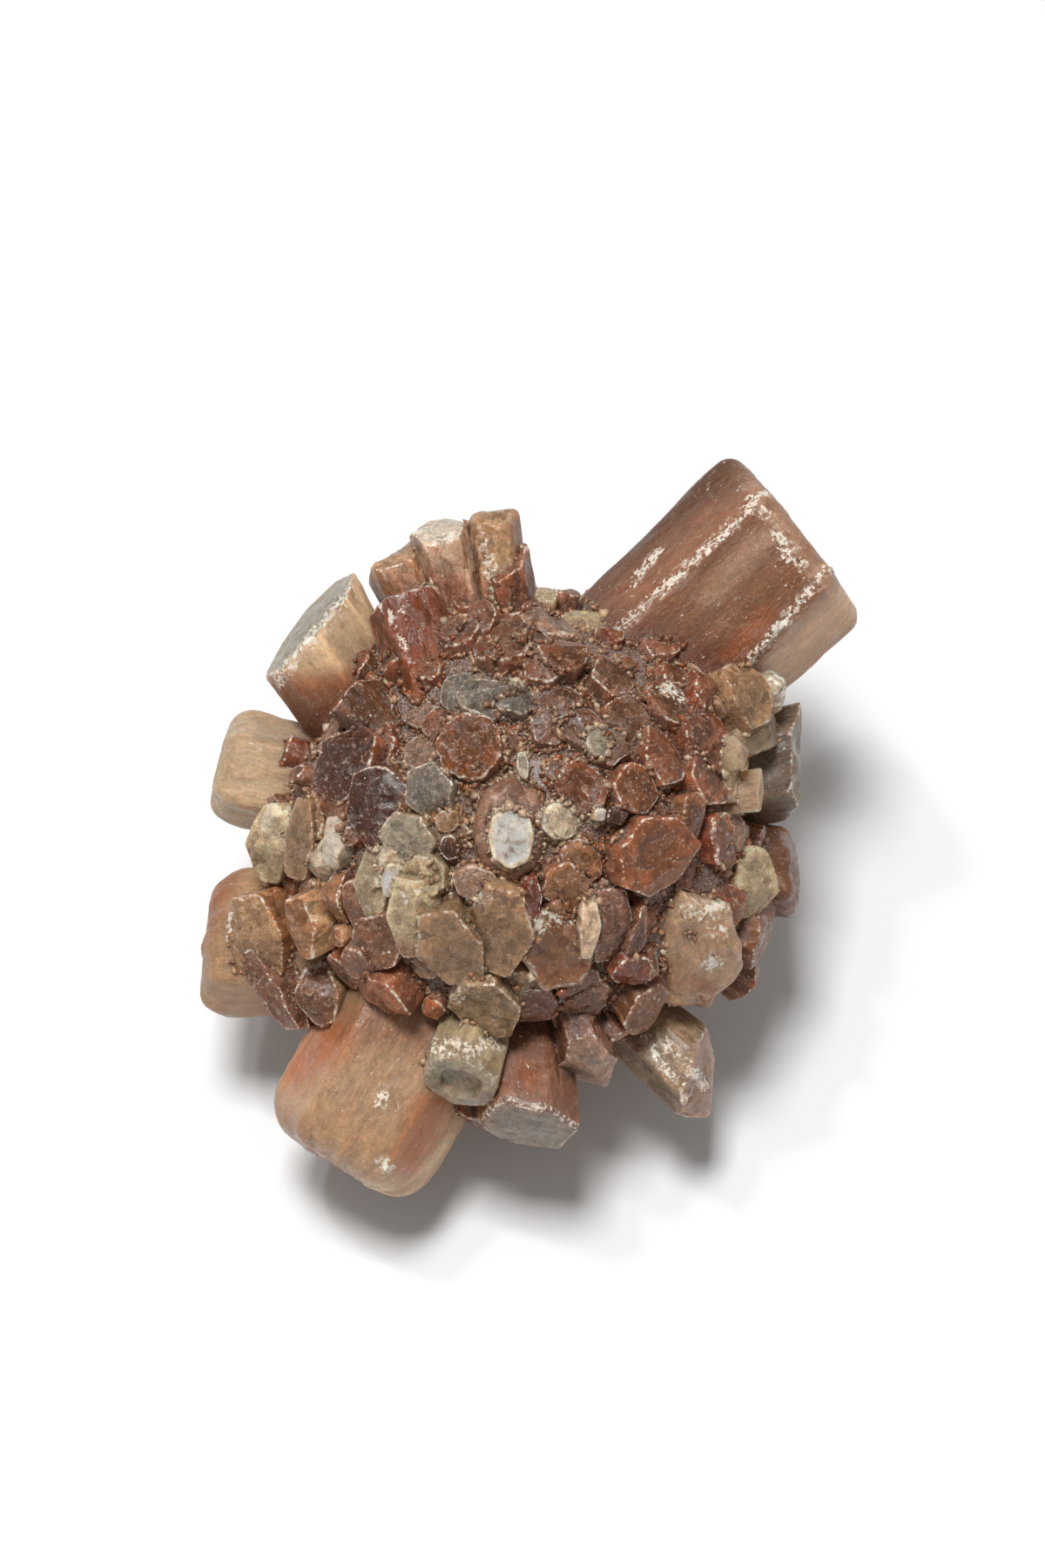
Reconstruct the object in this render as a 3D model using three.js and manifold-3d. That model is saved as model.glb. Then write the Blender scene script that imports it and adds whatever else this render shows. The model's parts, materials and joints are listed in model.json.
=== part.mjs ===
// An aragonite sputnik: a ball of flat-ended, six-sided crystals that grew outwards from one heart.
// Millimetres, +Z up, resting on z = 0 with the middle of its footprint at the origin.

import * as THREE from "three";
import { mergeVertices } from "three/addons/utils/BufferGeometryUtils.js";
import Module from "manifold-3d";

const wasm = await Module();
wasm.setup();

const radians = THREE.MathUtils.degToRad;

// The showy side of the cluster, its face, looks along -Y and 60 degrees above the horizon.
const LEAN_BACK = radians(90 - 60);
const HEART = [-0.7, 1.5, 15.6];    // where the crystals radiate from, above the resting plane
const CORE_RADIUS = 12.3;           // the solid middle that the crystals grow out of ...
const CORE_SHIFT = [0, 0, 1.0];     // ... which lies nearer to the face than the heart does
const CORE_SQUASH = [1.02, 1.0, 1.0];
const ROOT_TAPER = 0.86;            // a crystal's width at the heart, as a share of its width at the end
const SHOULDER = 0.35;              // the worn bevel round an ordinary crystal's end
const MOST_ROUND = 0.25;            // a worn end's radius is at most this share of the section's narrow side
const UNEVEN = 0.16;                // how far a crystal's corners stray from an even polygon
const FINEST = 0.02;                // details smaller than this are merged away

// Each crystal: the middle of its end [right, up, out] seen from the face, with the heart at the
// origin, then its section [across, thick], and turn, the direction of across in degrees.
// Optional: sides, round (the radius of a worn end), lean (slope of the end along across and thick),
// taper, root (where its axis starts, if not the heart).
const FACE_CRYSTALS = [
  // the great prism at the upper right, and the flat-ended one at the upper left
  { name: "great_prism", tip: [17.9, 18.0, 1.0], size: [13.3, 11.6], turn: 136, round: 1.2,
    root: [1.4, 2.7, 0], taper: 0.9, lean: [0.08, 0] },
  { name: "grey_ended_prism", tip: [-13.0, 12.5, 3.0], size: [8.3, 7.6], turn: 213, sides: 8,
    root: [-5, 0, 0], lean: [-0.3, -0.08] },

  // the columns along the top
  { name: "low_column", tip: [-8.1, 16.8, 2.0], size: [4.5, 4.8], turn: 208, root: [-1.5, 4.5, 0] },
  { name: "white_column", tip: [-5.1, 18.8, 3.0], size: [3.9, 4.6], turn: 195 },
  { name: "tall_column", tip: [-1.7, 19.5, 2.4], size: [4.1, 5.1], turn: 185, round: 0.7 },
  { name: "red_column", tip: [-0.9, 16.9, 3.2], size: [3.4, 4.6], turn: 192, root: [1.8, 4, 0] },
  { name: "green_chip", tip: [1.8, 14.3, 5.0], size: [1.5, 1.6], turn: 180 },
  { name: "pink_grey_block", tip: [2.1, 12.5, 7.8], size: [4.4, 3.0], turn: 172 },
  { name: "red_glassy", tip: [-7.2, 13.8, 6.6], size: [5.3, 4.8], turn: 207 },
  { name: "red_glassy_low", tip: [-6.0, 7.9, 11.0], size: [3.9, 3.7], turn: 205 },
  { name: "slender_one", tip: [-4.4, 12.2, 8.8], size: [2.5, 2.8], turn: 198 },
  { name: "slender_two", tip: [-2.5, 13.0, 8.4], size: [2.5, 2.5], turn: 190 },
  { name: "brown_hexagon", tip: [-0.6, 11.4, 10.9], size: [3.3, 3.6], turn: 10 },
  { name: "dark_chip", tip: [0.9, 11.2, 11.2], size: [1.5, 2.1], turn: 80 },
  { name: "ochre_round", tip: [2.7, 10.5, 11.8], size: [3.3, 3.3], turn: 20, sides: 9 },
  { name: "grey_oval", tip: [-1.7, 7.8, 13.2], size: [4.6, 3.0], turn: 0, sides: 8 },
  { name: "purple_round", tip: [2.4, 7.4, 13.2], size: [3.0, 2.9], turn: 0, sides: 8 },
  { name: "crust_block_a", tip: [6.8, 6.2, 12.6], size: [3.7, 3.2], turn: 30 },
  { name: "crust_block_b", tip: [6.2, 9.0, 11.2], size: [3.7, 3.2], turn: 10 },
  { name: "crust_block_c", tip: [9.3, 7.4, 10.6], size: [3.7, 3.0], turn: 40 },

  // the middle, whose crystals point straight out of the face
  { name: "white_tipped", tip: [-0.5, -0.6, 15.4], size: [5.0, 6.6], turn: 0, sides: 8, round: 0.9 },
  { name: "white_core", tip: [-0.4, -1.1, 16.1], size: [3.0, 3.9], turn: 0, sides: 8, round: 0.3 },
  { name: "ringed_round", tip: [-3.0, 4.6, 14.8], size: [4.2, 4.2], turn: 15, sides: 9 },
  { name: "blue_grey", tip: [-5.4, 1.7, 14.4], size: [3.2, 3.4], turn: 20 },
  { name: "tan_dot", tip: [-4.3, 0.0, 14.8], size: [1.6, 1.6], turn: 0, sides: 7 },
  { name: "dark_dot", tip: [-4.2, -1.6, 14.8], size: [1.3, 1.5], turn: 10 },
  { name: "pale_sliver", tip: [0.3, 3.4, 15.0], size: [0.9, 1.8], turn: 5 },
  { name: "mauve_patch", tip: [4.0, 6.0, 13.6], size: [2.8, 3.0], turn: 30 },
  { name: "grey_dot", tip: [4.9, 4.8, 14.0], size: [1.7, 1.7], turn: 12 },
  { name: "red_round", tip: [4.0, 2.2, 14.8], size: [3.4, 3.6], turn: 0, sides: 8 },
  { name: "white_shard", tip: [5.0, 0.4, 15.2], size: [1.1, 1.1], turn: 40, sides: 4 },
  { name: "dark_shard", tip: [6.1, 0.4, 14.8], size: [1.4, 1.5], turn: 70, sides: 5 },
  { name: "ochre_block", tip: [7.3, 1.9, 13.9], size: [3.4, 3.0], turn: -10 },
  { name: "mauve_pair_a", tip: [9.1, 4.2, 12.4], size: [3.4, 4.1], turn: 15 },
  { name: "mauve_pair_b", tip: [11.7, 5.2, 9.8], size: [4.8, 3.4], turn: -14 },
  { name: "brown_step", tip: [12.0, 2.8, 10.2], size: [4.5, 3.7], turn: 4 },
  { name: "brown_lozenge", tip: [11.0, 0.0, 11.9], size: [2.3, 3.2], turn: 14 },
  { name: "orange_end", tip: [8.6, -2.2, 13.8], size: [6.2, 5.4], turn: 12, sides: 7 },
  { name: "dark_red_block", tip: [12.1, 8.0, 8.6], size: [2.6, 3.9], turn: 10 },
  { name: "mauve_wedge", tip: [-10.9, 3.7, 10.2], size: [5.5, 4.4], turn: 24 },
  { name: "brown_shield", tip: [-8.8, 0.9, 12.8], size: [4.5, 5.2], turn: 15 },
  { name: "green_white", tip: [-6.9, -1.0, 14.2], size: [3.9, 3.0], turn: -8 },

  // the right-hand side
  { name: "pale_ochre", tip: [14.6, 8.0, 7.2], size: [3.9, 4.5], turn: 20, root: [6, 3, -3] },
  { name: "glint_chip", tip: [16.6, 8.4, 4.6], size: [2.1, 2.5], turn: 40 },
  { name: "clear_plate", tip: [15.7, 5.9, 6.4], size: [5.8, 2.9], turn: 26, root: [8, 3, -3] },
  { name: "grey_brown_block", tip: [17.9, 3.5, 1.2], size: [7.4, 5.6], turn: 96, lean: [0.2, 0] },
  { name: "sliver_one", tip: [14.0, 4.4, 9.6], size: [0.9, 2.3], turn: 10, sides: 4 },
  { name: "sliver_two", tip: [15.1, 1.8, 8.2], size: [0.9, 3.0], turn: -5, sides: 4 },
  { name: "olive_block", tip: [17.8, -3.5, 0.8], size: [6.0, 5.2], turn: 80, round: 0.8, lean: [-0.15, 0] },
  { name: "clear_box", tip: [15.0, -4.1, 6.6], size: [3.2, 4.6], turn: -6, root: [11, -3, -4] },
  { name: "brown_slab", tip: [15.7, -7.4, 3.2], size: [4.8, 3.9], turn: 64 },
  { name: "dark_corner", tip: [15.2, -10.6, 0.0], size: [3.9, 3.4], turn: 55 },
  { name: "red_speck", tip: [12.9, -1.2, 9.8], size: [2.8, 3.2], turn: 0 },

  // the lower right
  { name: "pale_honey", tip: [11.6, -8.8, 8.8], size: [10.0, 5.8], turn: 112, root: [6, -4, -4],
    round: 0.8 },
  { name: "pink_point", tip: [11.9, -16.7, 3.2], size: [5.8, 5.6], turn: 50, root: [3, -9, 0],
    lean: [-0.26, -0.3] },
  { name: "brown_filler_a", tip: [4.0, -11.2, 9.6], size: [3.7, 3.9], turn: 20 },
  { name: "brown_filler_b", tip: [8.2, -12.0, 8.0], size: [4.1, 3.9], turn: 10 },
  { name: "red_small", tip: [7.1, -9.5, 10.8], size: [2.9, 2.5], turn: 0 },
  { name: "mauve_slab", tip: [5.8, -6.8, 13.0], size: [3.3, 4.9], turn: 2 },
  { name: "mauve_slab_thin", tip: [7.5, -7.0, 12.4], size: [1.4, 3.7], turn: -6 },
  { name: "cream_blade", tip: [4.4, -6.6, 14.1], size: [1.4, 4.1], turn: -2 },

  // the lower middle
  { name: "golden_window", tip: [2.5, -7.9, 13.3], size: [4.9, 5.5], turn: 8, round: 0.5 },
  { name: "red_face", tip: [2.9, -4.1, 14.8], size: [3.2, 3.3], turn: 20 },
  { name: "red_hexagon", tip: [0.8, -4.7, 15.0], size: [1.7, 2.4], turn: 5 },
  { name: "mauve_hexagon", tip: [-1.2, -6.8, 14.4], size: [4.4, 6.0], turn: -8 },
  { name: "pale_rim", tip: [-2.6, -3.9, 15.0], size: [3.1, 2.1], turn: -24 },
  { name: "brown_grey", tip: [-4.1, -7.9, 13.4], size: [4.6, 5.5], turn: 14 },
  { name: "green_orange", tip: [-6.4, -6.0, 13.3], size: [3.8, 5.3], turn: 0 },
  { name: "green_pad", tip: [-6.0, -3.1, 13.9], size: [3.2, 2.0], turn: 0 },
  { name: "olive_hexagon", tip: [-2.0, -11.7, 10.8], size: [4.7, 5.1], turn: 8 },
  { name: "green_window", tip: [-3.6, -16.2, 9.0], size: [5.3, 5.2], turn: 12, round: 0.5,
    root: [-1, -6, 0] },
  { name: "dark_grey_one", tip: [1.1, -11.7, 9.8], size: [3.2, 4.4], turn: 0 },
  { name: "grey_foot", tip: [0.7, -19.4, 7.0], size: [6.3, 6.6], turn: 4, round: 0.4,
    root: [0.5, -8, 0] },
  { name: "grey_foot_side", tip: [4.5, -15.9, 7.0], size: [3.6, 6.0], turn: 14 },
  { name: "brown_bit", tip: [-3.0, -19.3, 3.6], size: [3.3, 3.9], turn: 350 },

  // the lower left
  { name: "peach_giant", tip: [-11.7, -21.7, 3.0], size: [11.4, 10.4], turn: 329, round: 2.7,
    taper: 1.15, lean: [0.05, 0] },
  { name: "lower_left_lobe", tip: [-19.9, -8.0, 0.6], size: [9.8, 8.4], turn: 273, round: 2.2,
    root: [-3, -7.4, 0], lean: [0.15, 0] },
  { name: "left_lobe", tip: [-19.0, 3.7, 0.0], size: [8.0, 7.4], turn: 252, round: 2.2, root: [-4, 0, 0] },
  { name: "lobe_top", tip: [-16.7, -7.4, 5.8], size: [4.6, 5.3], turn: 8, root: [-12, -5.5, -6] },
  { name: "mauve_blade", tip: [-15.7, -10.9, 5.0], size: [2.1, 6.0], turn: 25, root: [-11, -7, -6] },
  { name: "lobe_foot", tip: [-14.6, -11.4, 4.4], size: [3.0, 4.4], turn: 10, root: [-10, -7, -6] },
  { name: "honey_pair_a", tip: [-15.8, -1.7, 6.2], size: [3.0, 5.3], turn: -10, root: [-11, 0, -6] },
  { name: "honey_pair_b", tip: [-13.7, -1.2, 8.6], size: [2.6, 4.9], turn: -6, root: [-9, 0, -5] },
  { name: "white_glint", tip: [-11.7, -1.4, 10.9], size: [2.1, 3.2], turn: 0 },
  { name: "green_column", tip: [-9.2, -3.9, 12.2], size: [2.3, 4.8], turn: -4 },
  { name: "white_glint_low", tip: [-7.8, -3.7, 13.2], size: [1.3, 2.0], turn: -10 },
  { name: "brown_prism_a", tip: [-13.7, -6.8, 8.4], size: [2.2, 4.1], turn: 4 },
  { name: "brown_prism_b", tip: [-11.7, -5.2, 10.2], size: [1.7, 3.7], turn: -6 },
  { name: "brown_prism_c", tip: [-10.2, -5.4, 11.2], size: [1.5, 3.4], turn: 5 },
  { name: "small_pair", tip: [-10.0, -8.9, 10.2], size: [2.5, 2.3], turn: 0 },
  { name: "rust_block", tip: [-8.8, -11.2, 9.2], size: [5.4, 4.4], turn: -8 },
  { name: "brown_crust", tip: [-8.9, -7.7, 11.4], size: [3.7, 3.2], turn: 15 },
  { name: "olive_brown", tip: [-12.7, -11.2, 6.0], size: [3.2, 4.1], turn: 10, root: [-8, -7, -6] },
];

// The crystals that it stands on, whose ends are cut off flat by the resting plane.
const FEET = [
  { name: "foot_near_left", tip: [-8.6, -12.9, -11.0], size: [5.4, 4.8], turn: 30 },
  { name: "foot_near_right", tip: [8.8, -12.2, -11.4], size: [5.2, 4.6], turn: 100 },
  { name: "foot_far_right", tip: [7.0, -1.6, -17.2], size: [4.8, 4.4], turn: 0 },
  { name: "foot_far_left", tip: [-6.2, -0.9, -17.6], size: [5.0, 4.8], turn: 60 },
];

// The hidden side: crystals spread evenly over the back by the golden angle.
const GOLDEN_ANGLE = 137.508;
const BACK_COUNT = 34;
const BACK_FROM = -0.36;            // the spread runs from this out-component of direction ...
const BACK_TO = -0.97;              // ... to this one, near the far pole
const BACK_REACH = [14.2, 16.8];
const BACK_CLEARANCE = 1.8;         // the middle of a hidden crystal's end stays this far above the ground
const BACK_WIDTH = [4.4, 6.8];

// A fixed, uneven number from 0 to 1 for any two values.
function uneven(first, second) {
  const wave = Math.sin(first * 12.9898 + second * 78.233) * 43758.5453;
  return wave - Math.floor(wave);
}

function between([low, high], share) {
  return low + (high - low) * share;
}

// The corners of a crystal's section: an even polygon, stretched to size, with each corner strayed.
function sectionCorners({ tip, size: [across, thick], sides = 6 }) {
  const corners = [];
  const highest = sides % 4 === 2 ? Math.cos(Math.PI / sides) : 1;
  for (let corner = 0; corner < sides; corner += 1) {
    const angle = (2 * Math.PI * corner) / sides;
    const stray = 1 + UNEVEN * (uneven(tip[0] + tip[1], corner + 1) - 0.5);
    const x = (across / 2) * Math.cos(angle) * stray;
    const y = ((thick / 2) * Math.sin(angle) * stray) / highest;
    corners.push(new THREE.Vector2(x, y));
  }
  return corners;
}

// One crystal as an extruded section with a worn end, placed so that its end is at its tip.
function crystalGeometry(crystal) {
  const { tip, size, turn = 0, lean = [0, 0], taper = ROOT_TAPER, root = [0, 0, 0] } = crystal;
  const round = Math.min(crystal.round ?? SHOULDER, MOST_ROUND * Math.min(...size));
  const start = new THREE.Vector3(...root);
  const axis = new THREE.Vector3(...tip).sub(start);
  const length = axis.length();
  axis.normalize();

  const geometry = new THREE.ExtrudeGeometry(new THREE.Shape(sectionCorners(crystal)), {
    depth: length - 2 * round,
    bevelThickness: round,
    bevelSize: round,
    bevelOffset: -round,
    bevelSegments: round > 1 ? 3 : 1,
  });
  geometry.translate(0, 0, round);

  const point = new THREE.Vector3();
  const places = geometry.attributes.position;
  for (let index = 0; index < places.count; index += 1) {
    point.fromBufferAttribute(places, index);
    const share = point.z / length;
    const width = taper + (1 - taper) * share;
    const slope = lean[0] * point.x + lean[1] * point.y;
    places.setXYZ(index, point.x * width, point.y * width, point.z + slope * share);
  }
  const facing = new THREE.Quaternion().setFromUnitVectors(new THREE.Vector3(0, 0, 1), axis);
  geometry.rotateZ(radians(turn));
  geometry.applyQuaternion(facing);
  geometry.translate(...root);
  return geometry;
}

// The back's crystals, in the same form as the rows of the face.
function backCrystals() {
  const rows = [];
  for (let count = 0; count < BACK_COUNT; count += 1) {
    const out = between([BACK_FROM, BACK_TO], count / (BACK_COUNT - 1));
    const flat = Math.sqrt(1 - out * out);
    const angle = radians(GOLDEN_ANGLE * count);
    const direction = [flat * Math.cos(angle), flat * Math.sin(angle), out];
    const drop = -(direction[1] * Math.sin(LEAN_BACK) + direction[2] * Math.cos(LEAN_BACK));
    const longest = (HEART[2] - BACK_CLEARANCE) / Math.max(drop, 0.1);
    const reach = Math.min(between(BACK_REACH, uneven(count, 3)), longest);
    const across = between(BACK_WIDTH, uneven(count, 5));
    rows.push({
      name: `back_${count}`,
      tip: direction.map((part) => part * reach),
      size: [across, across * between([0.7, 0.95], uneven(count, 7))],
      turn: 360 * uneven(count, 9),
    });
  }
  return rows;
}

// A closed three.js geometry as a manifold solid.
function toSolid(geometry) {
  geometry.deleteAttribute("normal");
  geometry.deleteAttribute("uv");
  const welded = mergeVertices(geometry, 1e-4);
  const mesh = new wasm.Mesh({
    numProp: 3,
    vertProperties: new Float32Array(welded.attributes.position.array),
    triVerts: new Uint32Array(welded.index.array),
  });
  return new wasm.Manifold(mesh);
}

function toGeometry(solid) {
  const mesh = solid.getMesh();
  const geometry = new THREE.BufferGeometry();
  geometry.setAttribute("position", new THREE.BufferAttribute(mesh.vertProperties, 3));
  geometry.setIndex(new THREE.BufferAttribute(mesh.triVerts, 1));
  return geometry;
}

function coreGeometry() {
  const core = new THREE.IcosahedronGeometry(CORE_RADIUS, 2);
  core.scale(...CORE_SQUASH);
  core.translate(...CORE_SHIFT);
  return core;
}

// Everything below the resting plane, which is taken off to leave the small flats it stands on.
function belowThePlane() {
  const depth = 40;
  const slab = new THREE.BoxGeometry(120, 120, depth);
  slab.translate(0, 0, -depth / 2);
  return slab;
}

function standUp(geometry) {
  geometry.rotateX(LEAN_BACK);
  geometry.translate(...HEART);
  return geometry;
}

const rows = [...FACE_CRYSTALS, ...FEET, ...backCrystals()];
const pieces = [coreGeometry(), ...rows.map(crystalGeometry)].map((geometry) => toSolid(standUp(geometry)));
const joined = wasm.Manifold.union(pieces).subtract(toSolid(belowThePlane())).simplify(FINEST);

const stone = new THREE.MeshStandardMaterial({ color: 0xa8775c, roughness: 0.45, metalness: 0 });
const cluster = new THREE.Mesh(toGeometry(joined), stone);
cluster.name = "aragonite_cluster";
cluster.geometry.computeVertexNormals();

const group = new THREE.Group();
group.add(cluster);

export default group;
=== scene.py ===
"""Dresses the aragonite sputnik cluster: worn and stained crystals with a crust of grains between them.

Lengths are millimetres in the face frame (right, up, out of the cluster's showy face, with the heart at the
origin) until a mesh is finished, and metres in Blender.
"""

import json
import math

import bmesh
import bpy
import numpy as np
from mathutils import Matrix, Vector

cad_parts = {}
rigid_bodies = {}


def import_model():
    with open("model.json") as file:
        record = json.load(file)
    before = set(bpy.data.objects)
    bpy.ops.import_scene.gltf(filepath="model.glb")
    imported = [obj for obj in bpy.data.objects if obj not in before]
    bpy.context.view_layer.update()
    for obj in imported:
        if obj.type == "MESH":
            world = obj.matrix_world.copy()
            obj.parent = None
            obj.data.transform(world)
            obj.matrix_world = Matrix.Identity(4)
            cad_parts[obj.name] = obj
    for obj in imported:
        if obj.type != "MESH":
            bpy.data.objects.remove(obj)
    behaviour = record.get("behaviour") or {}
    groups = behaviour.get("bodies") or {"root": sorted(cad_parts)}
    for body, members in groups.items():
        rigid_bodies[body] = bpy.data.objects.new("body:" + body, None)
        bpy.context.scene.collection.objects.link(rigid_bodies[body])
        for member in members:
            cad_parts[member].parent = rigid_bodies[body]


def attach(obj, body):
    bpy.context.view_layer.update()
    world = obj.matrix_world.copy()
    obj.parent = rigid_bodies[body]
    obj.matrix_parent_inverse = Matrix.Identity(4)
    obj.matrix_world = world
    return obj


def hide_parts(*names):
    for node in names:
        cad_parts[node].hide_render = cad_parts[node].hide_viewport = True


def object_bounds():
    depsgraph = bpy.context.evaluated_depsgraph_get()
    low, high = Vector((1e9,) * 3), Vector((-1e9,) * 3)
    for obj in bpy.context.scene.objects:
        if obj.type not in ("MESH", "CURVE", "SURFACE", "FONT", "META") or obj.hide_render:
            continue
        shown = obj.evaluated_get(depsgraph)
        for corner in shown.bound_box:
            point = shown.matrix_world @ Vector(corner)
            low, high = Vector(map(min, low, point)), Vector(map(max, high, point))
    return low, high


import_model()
cad_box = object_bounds()

MM = 0.001

# ---- the cluster's driving dimensions, the same as the solid's ----
LEAN_BACK = math.radians(30)
HEART = np.array([-0.7, 1.5, 15.6])
CORE_RADIUS = 12.3
ROOT_TAPER = 0.86
MOST_ROUND = 0.25
UNEVEN = 0.16

# ---- and those that only the scene has ----
SHOULDER = 0.13           # the worn bevel round an ordinary crystal's end, sharper than the solid's
ROUNDED = 0.6             # a wider bevel than this is a rounded end
BED_BELOW = 1.15          # how far the crust bed lies below the ends of the crystals round it ...
BED_RANGE = (12.0, 15.0)  # ... within these distances from the heart
BED_FOLLOWS = 60.0        # how closely it follows them: a larger number takes in fewer neighbours
FAR_END = 17.2            # the ends of crystals longer than this don't raise it

# ---- how finely the surface is made, and how worn it is ----
FACE_STEP = 0.35          # spacing of points round a crystal of the showy face
BACK_STEP = 0.6           # the same on the hidden side
LENGTHWISE = 2.4          # rows along a crystal are this much further apart
START_INSIDE = (11.0, 0.75)   # a crystal from the heart starts this far out, or at this share of its length
CUTS = 3                  # faces that cut off corners of an ordinary crystal's end
CUT_START = (-0.15, 0.4)  # how far from the middle such a face starts, as a share of the narrow side
CUT_SLOPE = (0.15, 0.8)
EDGE_WEAR = 0.22          # how far the fillet along a prism's edge reaches ...
CORNER_SHARE = 0.25       # ... and at most this share of a side
CORE_DETAIL = 5           # subdivisions of the crust bed under the crystals
BED_LUMPS = (1.1, 2.5)    # how wide the small and the large lumps of the bed are
FULL_WIDTH = 3.5          # crystals narrower than this have lower relief
GROUND_HALF = 60.0        # half the width, and the depth, of the block that cuts the cluster off
GROUND_DEPTH = 40.0

# ---- the kinds of surface that a crystal has ----
SIDE = 0
BEVEL = 1
END = 2
KINDS = 3

# ---- the surface's bumps: their size along a crystal's own axes, and their height ----
GROOVES = (0.9, 0.9, 7.0)
GROOVE_HEIGHT = 0.055
STRIAE = (0.4, 0.4, 3.5)
STRIA_HEIGHT = 0.03
WOBBLE = (3.0, 3.0, 2.6)
WOBBLE_HEIGHT = 0.09
PITS = (0.7, 0.7, 1.1)
PIT_DEPTH = 0.08
NICKS = (9.0, 9.0, 0.7)
NICK_DEPTH = 0.1
CHIPS = 0.9               # how wide the chips along an end's rim are
TERRACES = (1.6, 0.5)     # slow steps across an end, and the unevenness of their edges
TERRACE_HEIGHT = 0.065
END_GRAIN = 0.35
END_GRAIN_HEIGHT = 0.04

# ---- colours as they look in daylight, in sRGB 0 to 255 ----
TONES = {
    "umber": (88, 61, 48),
    "maroon": (100, 56, 42),
    "deep_red": (84, 56, 10),
    "dark_red": (122, 68, 50),
    "brick": (134, 88, 69),
    "mauve": (124, 90, 78),
    "pale_mauve": (152, 124, 112),
    "prism": (138, 97, 76),
    "ochre": (126, 82, 58),
    "orange": (144, 92, 66),
    "rust": (150, 86, 52),
    "honey": (166, 134, 108),
    "pale_honey": (190, 168, 146),
    "peach": (180, 149, 124),
    "pink": (172, 146, 132),
    "cream": (208, 186, 168),
    "grey": (132, 114, 99),
    "pale_grey": (160, 153, 142),
    "blue_grey": (128, 121, 116),
    "white": (206, 192, 178),
    "green": (186, 170, 146),
    "olive": (142, 120, 98),
    "golden": (154, 112, 83),
    "brown": (122, 86, 68),
    "clear": (200, 174, 148),
    "rosy": (202, 168, 144),
    "slate": (114, 99, 88),
    "amber": (176, 112, 76),
    "silver": (146, 140, 130),
    "tan": (162, 132, 107),
    "pale_green": (208, 190, 164),
}


def crystal(name, tip, size, turn, tones, **more):
    """A crystal's row: the middle of its end, its section, and its tones at root, side and end."""
    return {"name": name, "tip": tip, "size": size, "turn": turn, "tones": tones, **more}


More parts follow.
